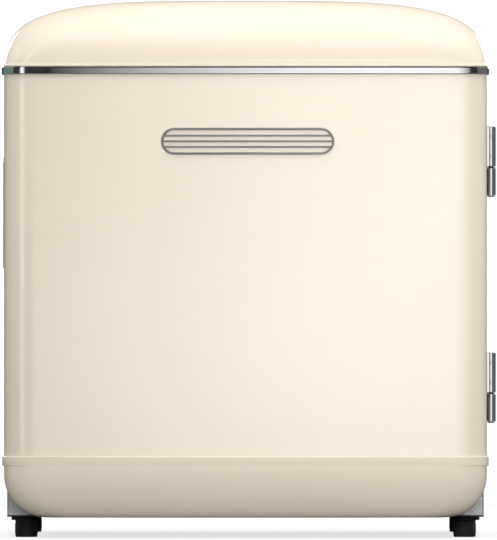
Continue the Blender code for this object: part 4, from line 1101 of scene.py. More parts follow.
def make_pin(hinge):
    """A hinge's turned pin with its head below, and the washer between the two knuckles."""
    low, high = extent(f"{hinge}_pin")
    head, shaft = (high.x - low.x) / 2, 0.0022
    neck = low.z + 0.001
    profile = [(0.0, low.z), (head - 0.0005, low.z), (head, low.z + 0.0004), (head, neck), (shaft, neck),
               (shaft, high.z - 0.0008), (shaft - 0.0008, high.z), (0.0, high.z)]
    deliver(f"{hinge}_pin_turned", turned(profile, HINGE_X, HINGE_Y), zinc_plate(), "cabinet",
            (f"{hinge}_pin",))
    low, high = extent(f"{hinge}_washer")
    outer = (high.x - low.x) / 2
    shape = ((PIN_BORE, low.z), (outer - 0.0002, low.z), (outer, (low.z + high.z) / 2),
             (outer - 0.0002, high.z), (PIN_BORE, high.z))
    rings = [[(x, y, z) for x, y in circle(radius, HINGE_X, HINGE_Y)] for radius, z in shape]
    deliver(f"{hinge}_washer_moulded", solid(rings, True), black_moulding(), "cabinet",
            (f"{hinge}_washer",))


# ---- cabinet ---------------------------------------------------------------------------------------
PRESSED_EDGE = 0.0004


def make_cabinet_sheets():
    """Side panels, front frame, base, back and bay sheets with pressed edges."""
    for node in ("left_side_panel", "right_side_panel", "front_frame"):
        softened_node(node, powder_coat(), PRESSED_EDGE)
    # Black enamel on the base plate: a black base, and its front edge is also painted shadow, the dark line
    # in the gap under the front frame.
    softened_node("base_plate", black_enamel(), PRESSED_EDGE)
    softened_node("bay_panel", galvanised_sheet(), PRESSED_EDGE)
    low, high = extent("back_panel")
    middle, reach, half = (low.z + high.z) / 2 + 0.03, 0.085, 0.005
    rise = ((0.0, high.y - 0.0005), (0.0009, high.y + 0.0004), (0.0030, high.y + 0.0009))
    beads = [raised_panel((x - half, middle - reach), (x + half, middle + reach), half, rise)
             for x in (-0.150, 0.150)]
    panel = combined(frame_copy("back_panel"), beads, "UNION")
    deliver("back_panel_pressed", panel, galvanised_sheet(), "cabinet", ("back_panel",), 0.0003)


def make_top_cover():
    """Domed cover of even thickness, its front and back edges rolled."""
    low, high = COVER
    rolled = 0.0012
    profile = [(COVER_WALL, low.y), (rolled, low.y)]
    profile += [(rolled - rolled * sin(radians(t)), low.y + rolled - rolled * cos(radians(t)))
                for t in (30, 60, 90)]
    profile += [(rolled - rolled * cos(radians(t)), high.y - rolled + rolled * sin(radians(t)))
                for t in (0, 30, 60, 90)]
    profile += [(COVER_WALL, high.y)]
    drop = DOOR_HALF - CABINET_HALF
    plans = {}
    for inset, _ in profile:
        if inset not in plans:
            right = arch(CABINET_HALF - inset, DOME_RISE - drop - inset, SEAM - DOME_SPRING, 60)
            plans[inset] = both_sides(right)
    count = len(plans[COVER_WALL])
    rings = [[(plans[inset][k][0], y, plans[inset][k][1]) for inset, y in profile] for k in range(count)]
    deliver("top_cover_moulded", solid(rings), cream_paint(), "cabinet", ("top_cover",),
            sharp=50.0)


STEP_BACK = 0.028                   # how far the step's front stands before the bay panel's flange
FLANGE_SHEET = 0.0012
LEDGE_PITCH = 0.055


def lining_space(half, floor, top, back, step_front, step_top):
    """What the lining holds: a box with round corners, open in front, less the compressor's step."""
    outline = round_box((-half, floor), (half, top), LINER_ROUND, 8)
    step = block((-0.3, step_front, 0.0), (0.3, 0.6, step_top))
    space = combined(prism(outline, "Y", 0.0, back), [step])
    edges = [e for e in space.edges if len(e.link_faces) == 2 and e.calc_face_angle(0.0) > radians(40)
             and max(v.co.y for v in e.verts) > 0.001]
    bmesh.ops.bevel(space, geom=edges, offset=0.006, segments=4, profile=0.5, affect="EDGES",
                    clamp_overlap=True)
    mouth = [f for f in space.faces if all(abs(v.co.y) < 1e-5 for v in f.verts)]
    bmesh.ops.delete(space, geom=mouth, context="FACES")
    return space


def thickened(bm, thickness):
    """A wall of even thickness outside a surface."""
    shell = loose_object("shell", bm)
    wall = shell.modifiers.new("wall", "SOLIDIFY")
    wall.thickness = thickness
    wall.offset = 1.0
    wall.use_even_offset = True
    return from_mesh(settled(shell))


def make_lining():
    """Moulded inner lining: round corners, the step over the compressor and the shelf ledges."""
    low, high = LINER
    half, floor = high.x - LINER_WALL, low.z + LINER_WALL
    top, back = high.z - LINER_WALL, high.y - LINER_WALL
    shelf = extent("glass_shelf")[0]
    step_top = shelf.z - FIT
    step_front = extent("bay_panel")[0].y + FLANGE_SHEET - STEP_BACK - LINER_WALL
    shell = thickened(lining_space(half, floor, top, back, step_front, step_top), LINER_WALL)
    ledges = []
    for side in (-1, 1):
        left, right = sorted((side * (half + LINER_WALL / 2), side * (half - 0.009)))
        for height in (step_top, step_top + LEDGE_PITCH + FIT):
            ledge = block((left, shelf.y, height - 0.006), (right, step_front + 0.002, height))
            bmesh.ops.bevel(ledge, geom=list(ledge.edges), offset=0.0014, segments=3, affect="EDGES")
            ledges.append(ledge)
    deliver("moulded_lining", combined(shell, ledges, "UNION"), lining_plastic(), "cabinet",
            ("inner_liner",), sharp=40.0)


FOOT_RADIUS = 0.01025


def make_feet():
    """Round black feet with a flange; the two in front have a stem to turn them by."""
    top = BODY_BOTTOM - FIT
    rim = top - 0.003
    for node in ("front_foot_left", "front_foot_right", "rear_foot_left", "rear_foot_right"):
        low, high = extent(node)
        x, y, flange = (low.x + high.x) / 2, (low.y + high.y) / 2, (high.x - low.x) / 2
        foot = FOOT_RADIUS
        profile = [(0.0, 0.0006), (foot - 0.003, 0.0006), (foot - 0.0026, 0.0), (foot - 0.0008, 0.0),
                   (foot - 0.0002, 0.0003), (foot, 0.001), (foot, rim - 0.0008), (foot + 0.0008, rim),
                   (flange - 0.0006, rim), (flange, rim + 0.0006), (flange, top - 0.0006),
                   (flange - 0.0006, top)]
        front = node.startswith("front")
        stem = [(0.004, top), (0.004, high.z - 0.001), (0.003, high.z), (0.0, high.z)]
        profile += stem if front else [(0.0, top)]
        body = node if front else "cabinet"
        deliver(f"{node}_moulded", turned(profile, x, y), black_moulding(), body,
                (node,), sharp=40.0)
        make_grip_ribs(node, body, x, y, rim)


def make_grip_ribs(node, body, x, y, tall):
    """Upright ribs round a foot."""
    ring = circle(FOOT_RADIUS - 0.00015, x, y, 24)
    spots = bpy.data.meshes.new(node)
    spots.from_pydata([(px, py, tall / 2) for px, py in ring], [], [])
    set_facing(spots, [(0.0, 0.0, 1.0)] * len(ring))
    radius = 0.0005
    profile = [(0.0, -tall * 0.32), (radius, -tall * 0.30), (radius, tall * 0.30), (0.0, tall * 0.32)]
    rib = loose_object("rib", turned(profile, 0.0, 0.0, count=6))
    piece = scatter_growth().grow(f"{node}_grip_ribs", spots, {"Template": rib, "Finish": black_moulding()})
    claim(piece, body)
    bpy.data.objects.remove(rib)


def set_facing(mesh, directions):
    """Gives each point the way that its copy of a template is to face."""
    attribute = mesh.attributes.new("facing", "FLOAT_VECTOR", "POINT")
    attribute.data.foreach_set("vector", [c for d in directions for c in d])


# ---- inside ----------------------------------------------------------------------------------------
def make_freezer():
    """Evaporator box with rolled edges and raised refrigerant channels, its flap and brackets."""
    low, high = extent("freezer_box")
    shell = shelled((low.x, high.y, low.z), (high.x, low.y, high.z), 0.0016, 0.006, 0.004, "Y")
    deliver("evaporator_box", shell, rolled_aluminium(), "cabinet", ("freezer_box",))
    make_channels(low, high)
    flap_low, flap_high = extent("freezer_flap")
    deliver("freezer_flap_moulded", frame_copy("freezer_flap"), frosted_plastic(), "freezer_flap",
            ("freezer_flap",), 0.001)
    first = ((flap_low.x + flap_high.x) / 2, flap_low.y, flap_low.z + 0.016)
    bars("freezer_flap_ribs", first, (0.0, 0.0, 0.012), 5, 0.0012, flap_high.x - flap_low.x - 0.05,
         ALONG_X, frosted_plastic(), "freezer_flap")
    for side in ("left", "right"):
        softened_node(f"flap_bracket_{side}", lining_plastic())


def make_channels(low, high):
    """Serpentine that the refrigerant runs through, raised on the right side of the box."""
    rows, margin = 6, 0.014
    ends = (low.y + 0.016, high.y - 0.016)
    points = []
    for row in range(rows):
        z = low.z + margin + (high.z - low.z - 2 * margin) * row / (rows - 1)
        points += [(high.x, y, z) for y in (ends if row % 2 == 0 else ends[::-1])]
    tube("evaporator_channel", bent(points, 0.005), 0.0022, rolled_aluminium(), "cabinet", "evaporator",
         sides=12)


def make_drip_tray():
    """Tray under the freezer box with ribs on its floor, and the rails it slides on."""
    low, high = extent("drip_tray")
    tray = shelled(low, high, 0.0018, 0.006, 0.004)
    deliver("drip_tray_moulded", tray, frosted_plastic(), "drip_tray", ("drip_tray",))
    count, margin = 8, 0.03
    first = (low.x + margin, (low.y + high.y) / 2, low.z + 0.0018)
    step = ((high.x - low.x - 2 * margin) / (count - 1), 0.0, 0.0)
    bars("drip_tray_ribs", first, step, count, 0.001, high.y - low.y - 0.016, ALONG_Y,
         frosted_plastic(), "drip_tray")
    for side in ("left", "right"):
        softened_node(f"tray_rail_{side}", lining_plastic(), 0.0003)


def fluted_ring(x, y, z, outer, inner, flutes):
    """A ring in an upright plane, with every fourth point set back to the inner radius."""
    count = flutes * 4
    ring = []
    for k in range(count):
        reach = inner if k % 4 == 0 else outer
        angle = 2 * pi * k / count
        ring.append((x + reach * cos(angle), y, z + reach * sin(angle)))
    return ring


def make_thermostat():
    """Housing under the ceiling, its fluted knob, and plain numbers round the knob."""
    softened_node("thermostat_housing", lining_plastic(), 0.0035, segments=4)
    low, high = extent("thermostat_knob")
    x, z = (low.x + high.x) / 2, (low.z + high.z) / 2
    skirt = (high.x - low.x) / 2
    back, front = high.y, low.y
    shape = ((0.0, back, 0.0), (0.97, back, 0.0), (1.0, back - 0.0008, 0.0), (1.0, back - 0.0022, 0.0),
             (0.96, back - 0.003, 0.0), (0.82, back - 0.003, 0.0), (0.80, back - 0.0042, 0.02),
             (0.77, front + 0.003, 0.04), (0.755, front + 0.001, 0.02), (0.70, front, 0.0),
             (0.0, front, 0.0))
    rings = [fluted_ring(x, y, z, skirt * max(share, 0.0005), skirt * max(share - deep, 0.0005), 24)
             for share, y, deep in shape]
    deliver("thermostat_knob_fluted", solid(rings), lining_plastic(), "thermostat_knob",
            ("thermostat_knob",), sharp=30.0)
    mark = block((x - 0.0007, front - 0.0002, z + skirt * 0.25),
                 (x + 0.0007, front + 0.0004, z + skirt * 0.66))
    deliver("thermostat_pointer", mark, dial_ink(), "thermostat_knob", soft=0.0001)
    make_numbers(x, z, skirt + 0.0045, extent("thermostat_housing")[0].y)


def make_numbers(x, z, radius, y):
    """Plain raised numbers on the housing, spread round the knob."""
    parts = []
    count = sizes().numbers
    for k in range(count):
        angle = radians(210 - 240 * k / (count - 1))
        text = bpy.data.curves.new("number", "FONT")
        text.body = str(k + 1)
        text.size = 0.0055
        text.extrude = 0.0002
        text.align_x = "CENTER"
        text.align_y = "CENTER"
        holder = bpy.data.objects.new("number", text)
        bpy.context.scene.collection.objects.link(holder)
        mesh = settled(holder)
        place = Matrix.Translation((x + radius * cos(angle), y - 0.0001, z + radius * sin(angle)))
        mesh.transform(place @ Matrix.Rotation(pi / 2, 4, "X"))
        parts.append(from_mesh(mesh))
    deliver("dial_numbers", joined(*parts), dial_ink(), "cabinet")


def make_shelf():
    """Glass shelf with round corners and ground edges, and its front trim."""
    low, high = extent("glass_shelf")
    pane = prism(round_box((low.x, low.y), (high.x, high.y), 0.008, 8), "Z", low.z, high.z)
    deliver("glass_shelf_pane", pane, shelf_pane(), "cabinet", ("glass_shelf",), 0.0008,
            segments=3)
    softened_node("shelf_trim", lining_plastic(), 0.0007)


# ---- compressor bay and back -----------------------------------------------------------------------
def compressor_profile(base, top, radius, weld_low, weld_high):
    """Half section of the welded pot, from under its floor over the weld's lip to the crown."""
    lip, lip_soft = radius * 1.05, radius * 1.045
    floor = [(0.0, 0.0016), (0.020, 0.0016), (0.034, 0.003), (0.0435, 0.007), (0.0495, 0.015),
             (0.0515, 0.024), (radius, 0.034)]
    weld = [(radius, weld_low - 0.001), (radius + 0.0010, weld_low), (lip_soft, weld_low),
            (lip, weld_low + 0.0006), (lip, weld_high - 0.0006), (lip_soft, weld_high),
            (radius + 0.0006, weld_high), (radius - 0.0004, weld_high + 0.0012)]
    crown = [(radius - 0.0004, 0.083), (radius - 0.0014, 0.090), (radius * 0.93, 0.0975),
             (radius * 0.85, 0.1035), (radius * 0.72, 0.1078), (radius * 0.5, 0.1108),
             (radius * 0.25, 0.1119)]
    return [(r, base + z) for r, z in floor + weld + crown] + [(0.0, top)]


def make_compressor():
    """Welded pot on a foot plate, with its terminal cover, rubber mounts and pan."""
    low, high = extent("compressor")
    middle = ((low.x + high.x) / 2, (low.y + high.y) / 2)
    profile = compressor_profile(low.z, high.z, 0.052, 0.0616, 0.0646)
    plate = prism(round_box((low.x, low.y), (high.x, high.y), 0.012, 8), "Z", low.z, low.z + 0.0032)
    rims = [e for e in plate.edges if e.calc_face_angle(0.0) > 1.0]
    bmesh.ops.bevel(plate, geom=rims, offset=0.0006, segments=2, affect="EDGES")
    whole = combined(turned(profile, *middle, count=72), [plate], "UNION")
    deliver("compressor_pot", whole, black_enamel(), "cabinet", ("compressor",), sharp=40.0)
    softened_node("terminal_cover", black_moulding(), 0.003, segments=4)
    for corner in ("front_left", "front_right", "back_left", "back_right"):
        make_grommet(f"grommet_{corner}")
    low, high = extent("evaporation_pan")
    pan = shelled(low, high, 0.002, 0.010, 0.003)
    deliver("evaporation_pan_moulded", pan, black_moulding(), "cabinet",
            ("evaporation_pan",))


def make_grommet(node):
    """Rubber mount with a waist and a bore."""
    low, high = extent(node)
    x, y, outer = (low.x + high.x) / 2, (low.y + high.y) / 2, (high.x - low.x) / 2
    tall, bore, waist = high.z - low.z, 0.004, outer - 0.0018
    shape = ((bore, 0.0), (outer - 0.001, 0.0), (outer, 0.1), (outer, 0.26), (waist, 0.42),
             (waist, 0.58), (outer, 0.74), (outer, 0.9), (outer - 0.001, 1.0), (bore, 1.0))
    rings = [[(px, py, low.z + share * tall) for px, py in circle(radius, x, y, 32)]
             for radius, share in shape]
    deliver(f"{node}_rubber", solid(rings, True), black_rubber(), "cabinet", (node,),
            sharp=50.0)


COIL_RADIUS = 0.0024
COIL_PASSES = 7
COIL_PITCH = 0.032
COIL_LEAD = 0.012
COIL_HALF = CABINET_HALF - 0.0555
COIL_FIRST = extent("back_panel")[0].z - FIT + 0.022
COIL_Y = extent("condenser_coil")[1].y - COIL_RADIUS
JOIN = 1e-5                         # keeps two bends that meet from sharing a point


def condenser_corners():
    """Corners of the coil's run: the drier's lead, the passes, and the compressor's lead."""
    low, _ = extent("condenser_coil")
    half, y, first = COIL_HALF, COIL_Y, COIL_FIRST
    end = first - 2 * COIL_LEAD - 0.018
    corners = [(-half, CABINET_DEPTH - 0.030, end), (-half, y, end), (-half, y, first)]
    for row in range(COIL_PASSES):
        way = 1 if row % 2 == 0 else -1
        z = first + row * COIL_PITCH
        corners += [(way * half, y, z), (way * half, y, z + COIL_PITCH)]
    side = half + COIL_LEAD
    corners[-2:] = [(side, y, first + (COIL_PASSES - 1) * COIL_PITCH), (side, y, end), (side, low.y, end)]
    return corners


def make_condenser():
    """Black coil of seven passes with wires across it, and the brackets that hold it off the wall."""
    corners = condenser_corners()
    lead_bend, pass_bend = COIL_LEAD - JOIN, COIL_PITCH / 2 - JOIN
    route = bent(corners[:4], lead_bend)[:-1]
    route += bent(corners[2:-2], pass_bend, 14)[1:-1]
    route += bent(corners[-4:], lead_bend)[1:]
    tube("condenser_tube", tidy_path(route), COIL_RADIUS, black_enamel(), "cabinet", "black_enamel",
         ("condenser_coil",))
    reach = (COIL_PASSES - 1) * COIL_PITCH
    wire = sizes().wire / 2
    span = 2 * (COIL_HALF - 0.022)
    count = int(span / sizes().wire_pitch) + 1
    touching = COIL_RADIUS + wire * 0.7
    for side, offset in (("front", -touching), ("back", touching)):
        first = (-span / 2, COIL_Y + offset, COIL_FIRST + reach / 2)
        bars(f"condenser_wires_{side}", first, (span / (count - 1), 0.0, 0.0), count, wire,
             reach + 0.010, UPRIGHT, black_enamel(), "cabinet")
    for side in ("left", "right"):
        softened_node(f"condenser_bracket_{side}", black_moulding(), 0.0007)


def tidy_path(points):
    """Drops points that fall on each other."""
    kept = [points[0]]
    for point in points[1:]:
        if (Vector(point) - Vector(kept[-1])).length > 0.0008:
            kept.append(point)
    return kept


def make_refrigerant_parts():
    """Copper filter drier with its drawn-down ends, and the suction tube."""
    low, high = extent("filter_drier")
    x, y, radius = (low.x + high.x) / 2, (low.y + high.y) / 2, (high.x - low.x) / 2
    neck, middle = 0.003, (low.z + high.z) / 2
    end = [(0.0, 0.0), (neck, 0.0), (neck, 0.004), (neck + 0.0018, 0.0075), (radius - 0.0014, 0.0115),
           (radius, 0.0160)]
    profile = [(r, low.z + h) for r, h in end]
    profile += [(radius, middle - 0.001), (radius - 0.0004, middle), (radius, middle + 0.001)]
    profile += [(r, high.z - h) for r, h in reversed(end)]
    deliver("filter_drier_drawn", turned(profile, x, y, count=32), drawn_copper(), "cabinet",
            ("filter_drier",), sharp=50.0)
    low, high = extent("suction_tube")
    radius = (high.y - low.y) / 2
    y, foot = (low.y + high.y) / 2, low.z + radius
    corners = [(high.x, y, foot), (low.x + radius, y, foot), (low.x + radius, y, high.z)]
    tube("suction_tube_bent", bent(corners, 0.016), radius, drawn_copper(), "cabinet", "copper",
         ("suction_tube",), 20)


def make_cord_entry():
    """Bracket and ribbed gland where the mains lead would come out."""
    softened_node("cord_bracket", zinc_plate(), PRESSED_EDGE)
    low, high = extent("cord_gland")
    x, z = (low.x + high.x) / 2, (low.z + high.z) / 2
    bore, reach = 0.0038, high.y - low.y
    collar = [(bore, 0.0), (0.0070, 0.0), (0.0075, 0.0005), (0.0075, 0.0043), (0.0095, 0.0043),
              (0.0095, 0.0062), (0.0091, 0.0068)]
    ribs = [(0.0083, 0.0072), (0.0086, 0.0080), (0.0079, 0.0085), (0.0082, 0.0094), (0.0075, 0.0099),
            (0.0078, 0.0108)]
    mouth = [(0.0070, reach), (bore + 0.0006, reach), (bore, reach - 0.0006)]
    rings = [[(px, low.y + along, pz) for px, pz in circle(radius, x, z, 36)]
             for radius, along in collar + ribs + mouth]
    deliver("cord_gland_moulded", solid(rings, True), black_moulding(), "cabinet",
            ("cord_gland",))


# ---- fasteners -------------------------------------------------------------------------------------
def screw_template():
    """Pan-head screw with a cross recess, its head along +Z from the origin."""
    radius = sizes().screw
    tall = radius * 0.5
    profile = [(0.0, -0.0004), (radius * 0.98, -0.0004), (radius, 0.0), (radius * 0.97, tall * 0.5),
               (radius * 0.82, tall * 0.85), (radius * 0.5, tall), (0.0, tall)]
    arm, width = radius * 0.55, radius * 0.13
    cross = [block((-arm, -width, tall * 0.35), (arm, width, tall * 2)),
             block((-width, -arm, tall * 0.35), (width, arm, tall * 2))]
    return loose_object("screw", combined(turned(profile, 0.0, 0.0, count=20), cross))


SCREW_EDGE = 0.007


def hinge_screws():
    """Two screws in each leaf, facing out from the side."""
    places = {"cabinet": [], "door": []}
    for hinge in ("lower_hinge", "upper_hinge"):
        for leaf, body, way in (("cabinet_leaf", "cabinet", 1), ("door_leaf", "door", -1)):
            low, high = extent(f"{hinge}_{leaf}")
            x, y = low.x + LEAF - 0.001, HINGE_Y + way * 0.0165
            places[body] += [((x, y, low.z + (high.z - low.z) * share), (1, 0, 0)) for share in (0.25, 0.75)]
    return places


def back_screws():
    """Screws that face backwards, in the side panels' flanges, the back panel and the brackets."""
    back = extent("left_side_panel")[1].y
    spots = [(side * (CABINET_HALF - SCREW_EDGE), back, z)
             for side in (-1, 1) for z in (0.045, 0.130, 0.215, 0.300, 0.385)]
    low, high = extent("back_panel")
    spots += [(x, high.y, low.z + SCREW_EDGE) for x in (-0.150, -0.075, 0.0, 0.075, 0.150)]
    spots += [(x, high.y, high.z - 0.010) for x in (-0.110, -0.037, 0.037, 0.110)]
    for side in ("left", "right"):
        low, high = extent(f"condenser_bracket_{side}")
        spots += [((low.x + high.x) / 2, high.y - 0.0002, z) for z in (low.z + 0.003, high.z - 0.003)]
    low, high = extent("cord_bracket")
    spots += [(x, high.y, high.z - 0.006) for x in (low.x + 0.006, high.x - 0.006)]
    return [(spot, (0, 1, 0)) for spot in spots]


def screw_places():
    """Where screws sit and which way they face, by body."""
    places = hinge_screws()
    places["cabinet"] += back_screws()
    return places


def make_screws():
    """Screw heads on hinges, back and brackets: one mesh for each body."""
    template = screw_template()
    for body, spots in screw_places().items():
        mesh = bpy.data.meshes.new("screw_spots")
        mesh.from_pydata([spot for spot, _ in spots], [], [])
        set_facing(mesh, [way for _, way in spots])
        piece = scatter_growth().grow(f"{body}_screws", mesh,
                                      {"Template": template, "Finish": zinc_plate()})
        piece.data.set_sharp_from_angle(angle=radians(35.0))
        claim(piece, body)
    bpy.data.objects.remove(template)


def finish_hidden_nodes():
    """Finishes for the frame nodes that stay as they are, hidden inside the walls."""
    for node, look in (("cabinet_foam", rigid_foam()), ("foot_socket_left", black_moulding()),
                       ("foot_socket_right", black_moulding())):
        mesh = frame["nodes"][node].data
        mesh.materials.clear()
        mesh.materials.append(look)


# ---- stage -----------------------------------------------------------------------------------------
CAMERA_DISTANCE = 16.0
VIEW_PLANE = -0.055                 # where along y the door is widest to the eye
VIEW_MIDDLE = (0.0028, 0.2473)      # what the camera is aimed at: x and z in fridge coordinates
VIEW_HEIGHT = 0.4978                # how much of that plane fits the frame's height
SENSOR = 36.0
WHITE = (1.0, 1.0, 1.0)
FAINT_GREEN = (0.66, 1.0, 0.80)
SEEN = 1.05                         # strengths of the surroundings: to the camera,
FILL = 0.25                         # on matt surfaces
MIRRORED = 0.04                     # and in mirrors


def camera():
    """A level camera far off, so that the fridge's front is seen nearly flat."""
    data = bpy.data.cameras.new("camera")
    data.sensor_width = SENSOR
    data.lens = SENSOR * CAMERA_DISTANCE / VIEW_HEIGHT
    data.clip_start, data.clip_end = 0.1, 60.0
    eye = bpy.data.objects.new("camera", data)
    bpy.context.scene.collection.objects.link(eye)
    eye.location = MIDDLE + Vector((VIEW_MIDDLE[0], VIEW_PLANE - CAMERA_DISTANCE, VIEW_MIDDLE[1]))
    eye.rotation_euler = (pi / 2, 0.0, 0.0)
    bpy.context.scene.camera = eye


def lamp(name, place, target, size, power, mirrored=False):
    """A rectangular soft light that the camera doesn't see, nor mirrors unless told."""
    data = bpy.data.lights.new(name, "AREA")
    data.shape = "RECTANGLE"
    data.size, data.size_y = size
    data.energy = power
    light = bpy.data.objects.new(name, data)
    light.location = place
    light.rotation_euler = (Vector(target) - Vector(place)).to_track_quat("-Z", "Y").to_euler()
    light.visible_camera = False
    light.visible_glossy = mirrored
    bpy.context.scene.collection.objects.link(light)


def stage_material(name, nodes):
    """A material whose whole tree is drawn by a function."""
    material = bpy.data.materials.new(name)
    material.use_nodes = True
    material.node_tree.nodes.clear()
    nodes(material.node_tree)
    return material


def glow_nodes(tree):
    """Emission of the colour that the sheet's own points carry."""
    level = tree.nodes.new("ShaderNodeAttribute")
    level.attribute_name = "glow"
    light = tree.nodes.new("ShaderNodeEmission")
    tree.links.new(level.outputs["Color"], light.inputs["Color"])
    out = tree.nodes.new("ShaderNodeOutputMaterial")
    tree.links.new(light.outputs["Emission"], out.inputs["Surface"])


def glow_sheet(name, columns, low, high, colour=WHITE):
    """An upright sheet of light that only mirrors and matt surfaces see.

    columns holds ((x, y), level) along it; low and high are its heights.
    """
    count = len(columns)
    points = [MIDDLE + Vector((*place, z)) for z in (low, high) for place, _ in columns]
    mesh = bpy.data.meshes.new(name)
    mesh.from_pydata(points, [], [(k, k + 1, count + k + 1, count + k) for k in range(count - 1)])
    glow = mesh.attributes.new("glow", "FLOAT_COLOR", "POINT")
    glow.data.foreach_set("color", [c for _ in range(2) for _, level in columns
                                    for c in (*(level * channel for channel in colour), 1.0)])
    mesh.materials.append(stage_material(name, glow_nodes))
    sheet = bpy.data.objects.new(name, mesh)
    sheet.visible_camera = False
    bpy.context.scene.collection.objects.link(sheet)


CARD_Y = -3.0
CARD_STEPS = 12


def soft_card(name, middle, left, right, peak, low, high):
    """A light card in front of the fridge that fades by a cosine to its left and right ends."""
    columns = []
    for k in range(-CARD_STEPS, CARD_STEPS + 1):
        share = k / CARD_STEPS
        x = middle + share * (right if share > 0 else left)
        columns.append(((x, CARD_Y), peak * cos(pi / 2 * share)))
    glow_sheet(name, columns, low, high)


def glow_sheets():
    """A wide card and a narrow one in front, a tall strip, and two dim sheets on either side."""
    soft_card("glow_wide", 0.45, 1.05, 1.75, 1.2, -0.6, 1.1)
    soft_card("glow_narrow", -1.9, 0.35, 0.35, 1.2, -0.6, 1.1)
    for name, ends, level, low, high, colour in (
            ("glow_strip", ((-2.1, CARD_Y), (-1.75, CARD_Y)), 1.3, 1.1, 3.4, WHITE),
            ("glow_left", ((-3.3, -2.8), (-3.0, 0.8)), 0.24, -0.6, 1.6, FAINT_GREEN),
            ("glow_right", ((3.3, -2.8), (3.0, 0.8)), 0.15, -0.6, 1.6, WHITE),
            ("glow_upper_left", ((-2.2, -1.8), (-2.2, 0.6)), 0.6, 1.0, 2.8, WHITE),
            ("glow_upper_right", ((2.2, -1.8), (2.2, 0.6)), 0.45, 1.0, 2.8, WHITE)):
        glow_sheet(name, [(end, level) for end in ends], low, high, colour)


def floor_nodes(tree):
    """Pale matt floor, brighter to the eye than to the fridge, so that its underside stays dark."""
    seen = tree.nodes.new("ShaderNodeLightPath")
    pale = tree.nodes.new("ShaderNodeBsdfDiffuse")
    pale.inputs["Color"].default_value = (0.90, 0.90, 0.90, 1.0)
    glow = tree.nodes.new("ShaderNodeEmission")
    glow.inputs["Strength"].default_value = SEEN
    blend = tree.nodes.new("ShaderNodeMixShader")
    blend.inputs["Fac"].default_value = 0.7
    tree.links.new(pale.outputs["BSDF"], blend.inputs[1])
    tree.links.new(glow.outputs["Emission"], blend.inputs[2])
    dim = tree.nodes.new("ShaderNodeBsdfDiffuse")
    dim.inputs["Color"].default_value = (0.16, 0.155, 0.15, 1.0)
    choose = tree.nodes.new("ShaderNodeMixShader")
    tree.links.new(seen.outputs["Is Camera Ray"], choose.inputs["Fac"])
    tree.links.new(dim.outputs["BSDF"], choose.inputs[1])
    tree.links.new(blend.outputs["Shader"], choose.inputs[2])
    out = tree.nodes.new("ShaderNodeOutputMaterial")
    tree.links.new(choose.outputs["Shader"], out.inputs["Surface"])


def floor():
    """A square of floor just under the feet."""
    bm = bmesh.new()
    reach, level = 2.2, -0.0002
    corners = ((-reach, -reach), (reach, -reach), (reach, reach), (-reach, reach))
    bm.faces.new([bm.verts.new((x, y, level)) for x, y in corners])
    mesh = bpy.data.meshes.new("floor")
    bm.to_mesh(mesh)
    bm.free()
    mesh.materials.append(stage_material("pale_floor", floor_nodes))
    ground = bpy.data.objects.new("floor", mesh)
    bpy.context.scene.collection.objects.link(ground)


def backdrop():
    """White to the eye, a soft fill on matt surfaces, nearly black in mirrors."""
    world = bpy.data.worlds.new("studio")
    world.use_nodes = True
    tree = world.node_tree
    tree.nodes.clear()
    path = tree.nodes.new("ShaderNodeLightPath")
    shades = []
    for colour, strength in (((0.95, 1.0, 0.97), MIRRORED), (WHITE, FILL), (WHITE, SEEN)):
        node = tree.nodes.new("ShaderNodeBackground")
        node.inputs["Color"].default_value = (*colour, 1.0)
        node.inputs["Strength"].default_value = strength
        shades.append(node.outputs["Background"])
    mixed = shades[0]
    for ray, shade in (("Is Diffuse Ray", shades[1]), ("Is Camera Ray", shades[2])):
        choose = tree.nodes.new("ShaderNodeMixShader")
        tree.links.new(path.outputs[ray], choose.inputs["Fac"])
        tree.links.new(mixed, choose.inputs[1])
        tree.links.new(shade, choose.inputs[2])
        mixed = choose.outputs["Shader"]
    out = tree.nodes.new("ShaderNodeOutputWorld")
    tree.links.new(mixed, out.inputs["Surface"])
    bpy.context.scene.world = world


def make_stage():
    """Camera, white surroundings, pale floor and plain soft lights."""
    camera()
    backdrop()
    floor()
    glow_sheets()
    lamp("low_front", (0.0, -1.5, 0.15), (0.0, 0.0, 0.2), (1.0, 0.2), 8.0)
    lamp("near_right", (0.45, -0.8, 0.35), (0.1, 0.0, 0.3), (0.4, 0.6), 1.6)
    lamp("top", (0.1, -0.2, 1.6), (0.0, 0.0, 0.4), (1.2, 0.8), 15.5)
    lamp("top_front", (0.0, -1.0, 1.6), (0.0, 0.0, 0.3), (1.2, 0.8), 12.0)
    lamp("back_left", (-1.8, 1.6, 1.4), (0.0, 0.1, 0.25), (1.2, 1.2), 30.0, True)
    lamp("back_right", (1.8, 1.8, 1.2), (0.0, 0.1, 0.25), (1.2, 1.2), 30.0, True)
    bpy.context.scene.view_settings.view_transform = "Standard"


# ---- operators -------------------------------------------------------------------------------------
class FRIDGE_OT_door_skin(bpy.types.Operator):
    """Build the domed cream door skin"""

    bl_idname = "fridge.door_skin"
    bl_label = "Door skin"
    bl_options = {"REGISTER", "UNDO"}

    def execute(self, context):
        make_door_skin()
        make_door_foam()
        return {"FINISHED"}


class FRIDGE_OT_door_trim(bpy.types.Operator):
    """Build the chrome band, the plain plaque and the finger recess"""

    bl_idname = "fridge.door_trim"
    bl_label = "Door trim"
    bl_options = {"REGISTER", "UNDO"}

    def execute(self, context):
        make_chrome_band()
        make_plaque()
        make_grip_cup()
        return {"FINISHED"}


class FRIDGE_OT_door_inside(bpy.types.Operator):
    """Build the door's lining, seal and racks"""

    bl_idname = "fridge.door_inside"
    bl_label = "Door inside"
    bl_options = {"REGISTER", "UNDO"}

    def execute(self, context):
        make_door_lining()
        make_gasket()
        make_racks()
        return {"FINISHED"}


